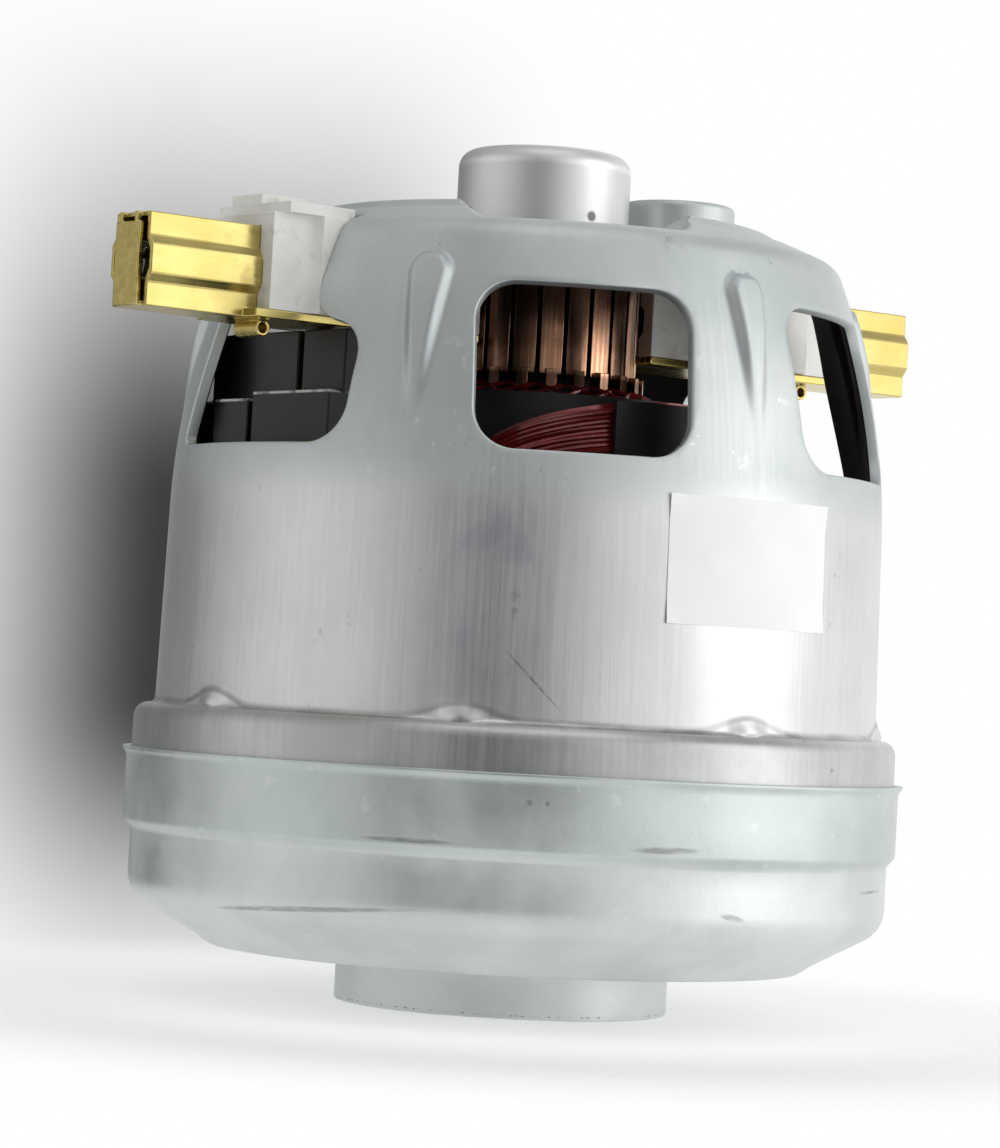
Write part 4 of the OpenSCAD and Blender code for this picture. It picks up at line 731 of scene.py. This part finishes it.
def brush_loop(phi0, by):
    """The brush window with its notch, which runs over the shoulder to the notch's straight inner end."""
    right, left = brush_outline()
    n, inner = NOTCH_W / 2 + by, NOTCH_IN - by
    end_r = math.hypot(inner, n)
    s_end = np.interp(-end_r, -line_r[:to_roof + 1], line_s[:to_roof + 1])
    body = even(right[::-1] + left, 0.45, False)
    body = grown(body[::-1], by)[::-1] if by else body
    body[0, 0], body[-1, 0] = n, -n
    base = on_wall(body, 0.0)
    s_top = np.linspace(base[0, 1], s_end, 36)[1:]
    r_top = np.interp(s_top, line_s, line_r)
    climb = np.stack([np.arcsin(n / r_top), s_top], -1)
    y = np.linspace(n, -n, 34)[1:-1]
    r_in = np.hypot(inner, y)
    across = np.stack([np.arctan2(y, inner), np.interp(-r_in, -line_r[:to_roof + 1], line_s[:to_roof + 1])], -1)
    s_down = np.linspace(s_end, base[-1, 1], 12)[:-1]
    down = np.stack([-np.arcsin(n / np.interp(s_down, line_s, line_r)), s_down], -1)
    loop = np.concatenate([base[::-1], climb, across, down])
    loop[:, 0] += phi0
    return loop


ROLL = 0.24
openings = []
for phi, start, stop in ((60, -14.15, 12.95), (120, -16.8, 13.4), (240, -14.15, 12.95), (300, -16.8, 13.4)):
    flat = even(window_outline(start, stop), 0.45)
    openings.append([on_wall(grown(flat, by), math.radians(phi)) for by in (ROLL, 0.08, 0.0)])
for phi in (0, 180):
    openings.append([brush_loop(math.radians(phi), by) for by in (ROLL, 0.08, 0.0)])

SEAM, ROUND = math.radians(24.2), 47.0
shell_pts = []
for i, s in enumerate(line_s):
    r, z = line_r[i], line_z[i]
    gap = 1.1 if z < 99 else (0.62 if z > 101 and r < 14.5 else 0.95)
    if 36.9 < z < 40.8 or 73 < z < 97:
        gap = 0.5 if z < 73 else 0.8
    n = 240 if z > 101 and r < 13.2 else max(10, int(math.tau * r / gap))
    shift = 0.0 if n == 240 else 0.5 * (i % 2) / n
    ring = [SEAM + math.tau * (k / n + shift) for k in range(n) if k / n + shift > 0.3 / n]
    shell_pts += [(a, s) for a in ring if a < SEAM + math.tau - 0.3 * 2 * math.pi / n]
    shell_pts += [(SEAM, s), (SEAM + math.tau, s)]
shell_pts = np.array(shell_pts)
from_rib = off_ribs(shell_pts[:, 0]) * ROUND
z_of = np.interp(shell_pts[:, 1], line_s, line_z)
shell_pts = shell_pts[~((from_rib < 4.7) & (z_of > 73.2) & (z_of < 96.6) & (np.abs(shell_pts[:, 0] - SEAM) > 0.02))]
rib_s = np.interp(np.arange(73.5, 96.5, 0.45), line_z[:to_roof], line_s[:to_roof])
for at in RIBS_AT:
    turn_to = math.radians(at)
    rows = [(turn_to + (i + 0.5 * (j % 2)) * 0.36 / ROUND, s) for j, s in enumerate(rib_s) for i in range(-12, 13)]
    shell_pts = np.concatenate([shell_pts, rows])
r_of = np.interp(shell_pts[:, 1], line_s, line_r)
from_low = np.abs(np.abs(r_of * np.sin(shell_pts[:, 0] - LOW_TURN)) - LOW_HALF - 0.8)
shell_pts = shell_pts[~((from_low < 2.6) & (np.cos(shell_pts[:, 0] - LOW_TURN) > 0) & (r_of > 13.3) & (r_of < 37.4)
                        & (shell_pts[:, 1] > line_s[to_shoulder]))]
low_sides = []
for r_at in np.arange(13.6, 37.4, 0.25):
    s_at = np.interp(-r_at, -line_r[to_shoulder:], line_s[to_shoulder:])
    for aside in np.arange(LOW_HALF - 1.6, min(LOW_HALF + 3.2, r_at - 0.3), 0.45):
        low_sides += [(LOW_TURN + math.asin(aside / r_at), s_at), (LOW_TURN - math.asin(aside / r_at), s_at)]
shell_pts = np.concatenate([shell_pts, low_sides])


def within(loop, pts):
    hit = np.zeros(len(pts), bool)
    x, y = pts[:, 0], pts[:, 1]
    for (x0, y0), (x1, y1) in zip(loop, np.roll(loop, -1, 0)):
        cross = (y0 > y) != (y1 > y)
        if cross.any():
            hit ^= cross & (x < (x1 - x0) * (y - y0) / (y1 - y0 + 1e-12) + x0)
    return hit


for rings in openings:
    for ring in rings:
        ring[:, 0] = (ring[:, 0] - SEAM) % math.tau + SEAM
clear = np.ones(len(shell_pts), bool)
for rings in openings:
    clear &= ~within(rings[0], shell_pts)
tree_of_edges = kdtree.KDTree(sum(len(rings[0]) for rings in openings))
count = 0
for rings in openings:
    for a, s in rings[0]:
        tree_of_edges.insert((a * ROUND, s, 0.0), count)
        count += 1
tree_of_edges.balance()
for i in np.nonzero(clear)[0]:
    clear[i] = tree_of_edges.find((shell_pts[i, 0] * ROUND, shell_pts[i, 1], 0.0))[2] > 0.3
flat = [Vector((a * ROUND, s)) for a, s in shell_pts[clear]]
edges, hole_starts = [], []
for rings in openings:
    first, n = len(flat), len(rings[0])
    hole_starts.append((first, n))
    flat += [Vector((a * ROUND, s)) for a, s in rings[0]]
    edges += [(first + k, first + (k + 1) % n) for k in range(n)]
spots, _, tris, origin, _, _ = geometry.delaunay_2d_cdt(flat, edges, [], 0, 1e-5)
where = np.array([(v[0] / ROUND, v[1]) for v in spots])
centre = np.array([where[list(t)].mean(0) for t in tris])
solid = np.ones(len(tris), bool)
for rings in openings:
    solid &= ~within(rings[0], centre)
tris = [t for t, ok in zip(tris, solid) if ok]
found = {}
for new, olds in enumerate(origin):
    for old in olds:
        found[old] = new
n_flat = len(where)
points = list(shell_point(where[:, 0], where[:, 1], 0.0)) + list(shell_point(where[:, 0], where[:, 1], SHEET_T))
faces = [tuple(t) for t in tris] + [tuple(n_flat + k for k in t[::-1]) for t in tris]
for rings, (first, n) in zip(openings, hole_starts):
    rows = [[found[first + k] for k in range(n)]]
    for ring, depth in ((rings[1], 0.06), (rings[2], 0.26), (rings[2], SHEET_T - 0.2)):
        rows.append([len(points) + k for k in range(n)])
        points += list(shell_point(ring[:, 0], ring[:, 1], depth))
    rows.append([n_flat + found[first + k] for k in range(n)])
    for a, b in zip(rows, rows[1:]):
        faces += [(a[k], a[(k + 1) % n], b[(k + 1) % n], b[k]) for k in range(n)]
low = [i for i in range(n_flat) if where[i, 1] < 1e-4]
low.sort(key=lambda i: where[i, 0])
faces += [(a, b, n_flat + b, n_flat + a) for a, b in zip(low, low[1:])]
high = [i for i in range(n_flat) if where[i, 1] > line_s[-1] - 1e-4]
high.sort(key=lambda i: where[i, 0])
points += [np.array((0.0, 0.0, CUP_TOP)), np.array((0.0, 0.0, CUP_TOP - SHEET_T))]
faces += [(a, b, len(points) - 2) for a, b in zip(high, high[1:])]
faces += [(n_flat + b, n_flat + a, len(points) - 1) for a, b in zip(high, high[1:])]
boss = [(0.0, -2.4), (8.4, -2.4), (8.4, -0.45), (8.1, -0.2), (7.88, 0.1), (7.8, 0.5), (7.8, 4.5)]
boss = [(r, crest_z + rise) for r, rise in boss + bend(7.0, 4.7, 0.8, 0, 90, 6) + [(3.0, 5.5), (0.0, 5.5)]]
join(points, faces, turned(boss, 72, BOSS_X))
shell = add_piece("shell_of_the_motor", points, faces, [drawn_metal, inside_shade_finish], "motor",
                  ["motor_housing"], 48.0)
flags = np.zeros(len(shell.data.polygons), np.int32)
middle = np.array([p.center[:] for p in shell.data.polygons]) * 1000
aim = np.array([p.normal[:] for p in shell.data.polygons])
span = np.hypot(middle[:, 0], middle[:, 1])
rising = np.concatenate([[True], np.diff(line_z[:to_roof]) > 1e-6])
skin_r = np.interp(middle[:, 2], line_z[:to_roof][rising], line_r[:to_roof][rising])
roof_from = int(np.argmin(np.abs(line_z - roof_z)))
SHADE_DEPTH = 1.05
skin_z = np.interp(-span, -line_r[roof_from:], line_z[roof_from:])
skin_z = skin_z - lowered(np.arctan2(middle[:, 1], middle[:, 0]), span, skin_z)
skin_r = skin_r + pressed(np.arctan2(middle[:, 1], middle[:, 0]), middle[:, 2], skin_r)
level = middle[:, 2]
# Faces lying more than about a millimetre inside the outer skin take the painted shade finish.
flags[(level > 38.5) & (level < SHOULDER_Z) & (skin_r - span > SHADE_DEPTH)] = 1
flags[(level >= SHOULDER_Z) & (span < roof_r) & (span > CUP_R + 0.3) & (skin_z - level > SHADE_DEPTH)
      & (aim[:, 2] < 0.5)] = 1
flags[(level > 99.0) & (level < CUP_TOP - SHADE_DEPTH) & (span < CUP_R - SHADE_DEPTH)] = 1
shell.data.polygons.foreach_set("material_index", flags)


# Label. A bare white paper sticker with a gummed back, pressed on to the barrel beside the right front pillar. It
# follows the barrel's round, and its corners are just lifting.

paper, tree, shader, place = new_finish("white_label_paper", 0.0, 0.55)
fibre = grain(tree, place, 1500.0, 4.0)
cloud = grain(tree, place, 90.0, 3.0)
colour(tree, shader, mottled(tree, cloud, (0.91, 0.91, 0.905), (0.95, 0.95, 0.95)))
gloss(tree, shader, fibre, 0.48, 0.62)
dents(tree, shader, fibre, 0.15, 0.00004)
LABEL_TURN, LABEL_W, LABEL_LOW, LABEL_HIGH = math.radians(-91.7), 25.5, 50.9, 66.8
points, faces = [], []
across, tall = 40, 20
for layer in (0.02, 0.13):
    for j in range(tall + 1):
        for i in range(across + 1):
            u, v = i / across * 2 - 1, j / tall * 2 - 1
            z = LABEL_LOW + (LABEL_HIGH - LABEL_LOW) * j / tall
            curl = 0.28 * max(abs(u) - 0.86, 0.0) / 0.14 * max(abs(v) - 0.6, 0.0) / 0.4
            r = wall_r(z) + layer + curl + 0.02 * math.sin(9 * u + 4 * v)
            a = LABEL_TURN + u * LABEL_W / 2 / wall_r(z)
            points.append((r * math.cos(a), r * math.sin(a), z))
grid = (across + 1) * (tall + 1)
for j in range(tall):
    for i in range(across):
        a = j * (across + 1) + i
        quad = (a, a + 1, a + across + 2, a + across + 1)
        faces += [tuple(k + grid for k in quad), quad[::-1]]
rim = list(range(across)) + [across + j * (across + 1) for j in range(tall)] \
    + [grid - 1 - i for i in range(across)] + [(tall - j) * (across + 1) for j in range(tall)]
faces += [(a, b, b + grid, a + grid) for a, b in zip(rim, rim[1:] + rim[:1])]
add_piece("bare_sticker", points, faces, [paper], "motor", ["label"], 40.0)


# Brush gear. On each side a white moulded holder fills the housing's notch and grips a folded brass tube with beaded
# sides; a carbon brush slides in the tube and a coil spring behind it bears on the tube's end tab.

see_into = {"Subsurface Weight": 0.08, "Subsurface Radius": (0.001, 0.001, 0.0008)}
ivory, tree, shader, place = new_finish("white_holder_moulding", 0.0, 0.42, **see_into)
cloud = grain(tree, place, 110.0, 4.0)
base = mottled(tree, cloud, (0.72, 0.715, 0.67), (0.84, 0.835, 0.80))
marks = times(tree, spread(tree, grain(tree, place, 260.0, 5.0), 0.58, 0.72), 0.35)
colour(tree, shader, tint(tree, marks, base, (0.3, 0.28, 0.23)))
gloss(tree, shader, cloud, 0.36, 0.5)
dents(tree, shader, sums(tree, "ADD", cloud, grain(tree, place, 1800.0, 2.0)), 0.15, 0.00008)

brass, tree, shader, place = new_finish("folded_sheet_brass", 1.0, 0.24)
cloud = grain(tree, place, 120.0, 4.0)
drawn_out = link(tree, "ShaderNodeVectorMath", {0: place, 1: (60.0, 900.0, 900.0)}, operation="MULTIPLY")
rolled = grain(tree, drawn_out.outputs[0], 1.0, 3.0)
blend = sums(tree, "MULTIPLY_ADD", rolled, 0.5, times(tree, cloud, 0.5))
base = mottled(tree, blend, (0.5, 0.4, 0.12), (0.68, 0.57, 0.22))
marks = times(tree, spread(tree, grain(tree, place, 170.0, 4.0), 0.62, 0.78), 0.4)
colour(tree, shader, tint(tree, marks, base, (0.3, 0.19, 0.05)))
gloss(tree, shader, rolled, 0.2, 0.32)
dents(tree, shader, sums(tree, "ADD", rolled, cloud), 0.06, 0.00004)
SPRING_FROM, SPRING_TO, SPRING_R, SPRING_WIRE, SPRING_TURNS, BRUSH_Z = 46.05, 64.1, 2.2, 0.7, 11, 92.0


def wider_bead(p):
    """The bead pressed along each side of the tube, a little fuller than the solid's."""
    off = p.z - BRUSH_Z
    if abs(p.y) > 3.0 and abs(p.x) > 15.0 and 1.2 < abs(off) < 3.4:
        p.z = BRUSH_Z + math.copysign(abs(off) * 1.3, off)
    return p


carbon = moulded_finish("pressed_brush_carbon", (0.012, 0.012, 0.013), (0.035, 0.034, 0.034), 0.6, 300.0)
spring_metal = metal_finish("blued_spring_wire", (0.3, 0.3, 0.32), (0.5, 0.5, 0.52), 0.3, 220.0)
for side_name, sign in (("left", -1), ("right", 1)):
    dressed("brush_holder_" + side_name, ivory, "motor", 0.32, 3)
    dressed("brush_tube_" + side_name, brass, "motor", 0.3, 3, 28.0, wider_bead)
    dressed("carbon_brush_" + side_name, carbon, "brush_" + side_name, 0.2, 2)
    path = []
    for i in range(SPRING_TURNS * 20 + 1):
        a = math.tau * i / 20
        x = SPRING_FROM + (SPRING_TO - SPRING_FROM) * i / (SPRING_TURNS * 20)
        path.append(Vector((sign * x, sign * SPRING_R * math.cos(a), BRUSH_Z + SPRING_R * math.sin(a))))
    points, faces = wire(path, SPRING_WIRE / 2, 8)
    coil = add_piece("spring_of_the_" + side_name + "_brush", points, faces, [spring_metal], "motor",
                     ["brush_spring_" + side_name], 50.0)
    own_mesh(coil)


# Table, light and camera. A plain white table that fades into a pale surround, with a painted shadow in the surround
# to the left of the object, a large soft light to the right of the camera, a weaker one overhead, and the
# photograph's own angle.

YAW, PITCH, ROLL_TILT, TURN = -0.0057334, 0.027698, 0.054698, math.radians(-39.0)
FOCUS, SENSOR, PHOTO_LONG_SIDE = 4002.1, 36.0, 1148.0
look = Vector((math.sin(YAW) * math.cos(PITCH), math.cos(YAW) * math.cos(PITCH), math.sin(PITCH)))
level = Vector((math.cos(YAW), -math.sin(YAW), 0.0))
upright = level.cross(look)
right = math.cos(ROLL_TILT) * level + math.sin(ROLL_TILT) * upright
top = -math.sin(ROLL_TILT) * level + math.cos(ROLL_TILT) * upright
to_row = Matrix.Rotation(TURN, 3, "Z")
right, top, look = to_row @ right, to_row @ top, to_row @ look
lens = bpy.data.cameras.new("photo_camera")
lens.sensor_width = SENSOR
lens.lens = FOCUS * SENSOR / PHOTO_LONG_SIDE
lens.clip_start = 0.01
camera = bpy.data.objects.new("photo_camera", lens)
spot = to_row @ Vector((0.0, -0.53054, 0.04226))
camera.matrix_world = Matrix([(right[k], top[k], -look[k], spot[k]) for k in range(3)] + [(0, 0, 0, 1)])
put(camera)
bpy.context.scene.camera = camera
bpy.context.scene.view_settings.view_transform = "Standard"

table = bpy.data.meshes.new("table")
points, faces = turned([(0.0, 0.0), (0.1, 0.0), (0.2, 0.0), (0.3, 0.0), (0.3, -0.002), (0.0, -0.002)], 96)
table.from_pydata(points, [], faces)
floor = bpy.data.objects.new("table", table)
put(floor)
white = bpy.data.materials.new("white_table")
white.use_nodes = True
tree = white.node_tree
tree.nodes.remove(tree.nodes["Principled BSDF"])
rays = link(tree, "ShaderNodeLightPath").outputs
seen = most(tree, most(tree, rays["Is Camera Ray"], rays["Is Glossy Ray"]), rays["Is Transmission Ray"])
coat = link(tree, "ShaderNodeBsdfDiffuse", {"Color": (0.56, 0.56, 0.56, 1.0)}).outputs[0]
plain = link(tree, "ShaderNodeBsdfDiffuse", {"Color": (0.8, 0.8, 0.8, 1.0)}).outputs[0]
glow = link(tree, "ShaderNodeEmission", {"Color": (1.0, 1.0, 1.0, 1.0), "Strength": 0.5}).outputs[0]
lit = link(tree, "ShaderNodeAddShader", {0: coat, 1: glow}).outputs[0]
paper_white = link(tree, "ShaderNodeMixShader", {0: seen, 1: plain, 2: lit}).outputs[0]
place = link(tree, "ShaderNodeTexCoord").outputs["Object"]
centre_off = link(tree, "ShaderNodeVectorMath", {0: place}, operation="LENGTH").outputs["Value"]
gone = link(tree, "ShaderNodeBsdfTransparent").outputs[0]
faded = link(tree, "ShaderNodeMixShader", {0: spread(tree, centre_off, 0.05, 0.12), 1: paper_white, 2: gone})
drive(tree, tree.nodes["Material Output"], "Surface", faded.outputs[0])
table.materials.append(white)

world = bpy.data.worlds.new("pale_surround")
bpy.context.scene.world = world
world.use_nodes = True
tree = world.node_tree
toward = link(tree, "ShaderNodeTexCoord").outputs["Generated"]
facing, sideways = [
    link(tree, "ShaderNodeVectorMath", {0: toward, 1: way}, operation="DOT_PRODUCT").outputs["Value"]
    for way in ((-look.x, -look.y, 0.0), (right.x, right.y, 0.0))]
height = link(tree, "ShaderNodeSeparateXYZ", {0: toward}).outputs[2]
bearing = sums(tree, "ARCTAN2", sideways, facing)
share = sums(tree, "MULTIPLY_ADD", bearing, 1 / math.tau, 0.5)
walls = link(tree, "ShaderNodeValToRGB", {0: share})
walls.color_ramp.interpolation = "B_SPLINE"
levels = [(-180, 0.45), (-155, 0.2), (-130, 0.16), (-112, 0.42), (-95, 0.74), (-75, 0.84), (-55, 0.78), (-38, 0.55),
          (-20, 0.2), (-8, 0.12), (6, 0.22), (22, 0.66), (31, 0.93), (40, 1.0), (75, 1.0), (110, 1.0), (150, 0.95),
          (180, 0.7)]
ramp = walls.color_ramp.elements
while len(ramp) > 1:
    ramp.remove(ramp[-1])
for k, (degrees, value) in enumerate(levels):
    stop = ramp[0] if k == 0 else ramp.new((degrees + 180) / 360)
    stop.position = (degrees + 180) / 360
    stop.color = (value, value, value * 1.01, 1.0)
ceiling = spread(tree, height, 0.15, 0.95)
surround = tint(tree, ceiling, walls.outputs[0], (0.5, 0.505, 0.51))
# Painted shadow: a dark soft patch in the surround beside the object, to the left of the view, stands in for the
# object's shadow.
beside = times(tree, spread(tree, sideways, -0.165, -0.085), spread(tree, sideways, 0.02, -0.05))
level_with = times(tree, spread(tree, height, 0.18, 0.04), spread(tree, height, -0.105, -0.005))
painted_shadow_left = times(tree, times(tree, beside, level_with), spread(tree, facing, -0.2, -0.6))
backdrop = tint(tree, painted_shadow_left, (1.0, 1.0, 1.0), (0.05, 0.05, 0.05))
rays = link(tree, "ShaderNodeLightPath").outputs
seen = most(tree, most(tree, rays["Is Camera Ray"], rays["Is Glossy Ray"]), rays["Is Transmission Ray"])
room_side = most(tree, spread(tree, facing, -0.75, -0.35), spread(tree, sideways, 0.05, -0.1))
mirrored_room = times(tree, rays["Is Glossy Ray"], room_side)
backdrop = tint(tree, mirrored_room, backdrop, surround)
behind = link(tree, "ShaderNodeBackground", {"Color": backdrop, "Strength": 1.0}).outputs[0]
around = link(tree, "ShaderNodeBackground", {"Color": surround, "Strength": 1.2}).outputs[0]
lit = link(tree, "ShaderNodeMixShader", {0: seen, 1: around, 2: behind})
drive(tree, tree.nodes["World Output"], "Surface", lit.outputs[0])


def soft_light(name, aim_from, far, wide, tall, watts):
    light = bpy.data.lights.new(name, "AREA")
    light.shape = "RECTANGLE"
    light.size, light.size_y, light.energy = wide, tall, watts
    made = bpy.data.objects.new(name, light)
    way = Vector(aim_from).normalized()
    made.location = way * far + Vector((0, 0, 0.06))
    made.rotation_euler = way.to_track_quat("Z", "Y").to_euler()
    put(made)


soft_light("right_softbox", (0.574, -0.819, 0.22), 0.9, 0.5, 0.9, 1.6)
soft_light("top_softbox", (-0.1, -0.3, 1.0), 0.9, 0.7, 0.7, 0.8)
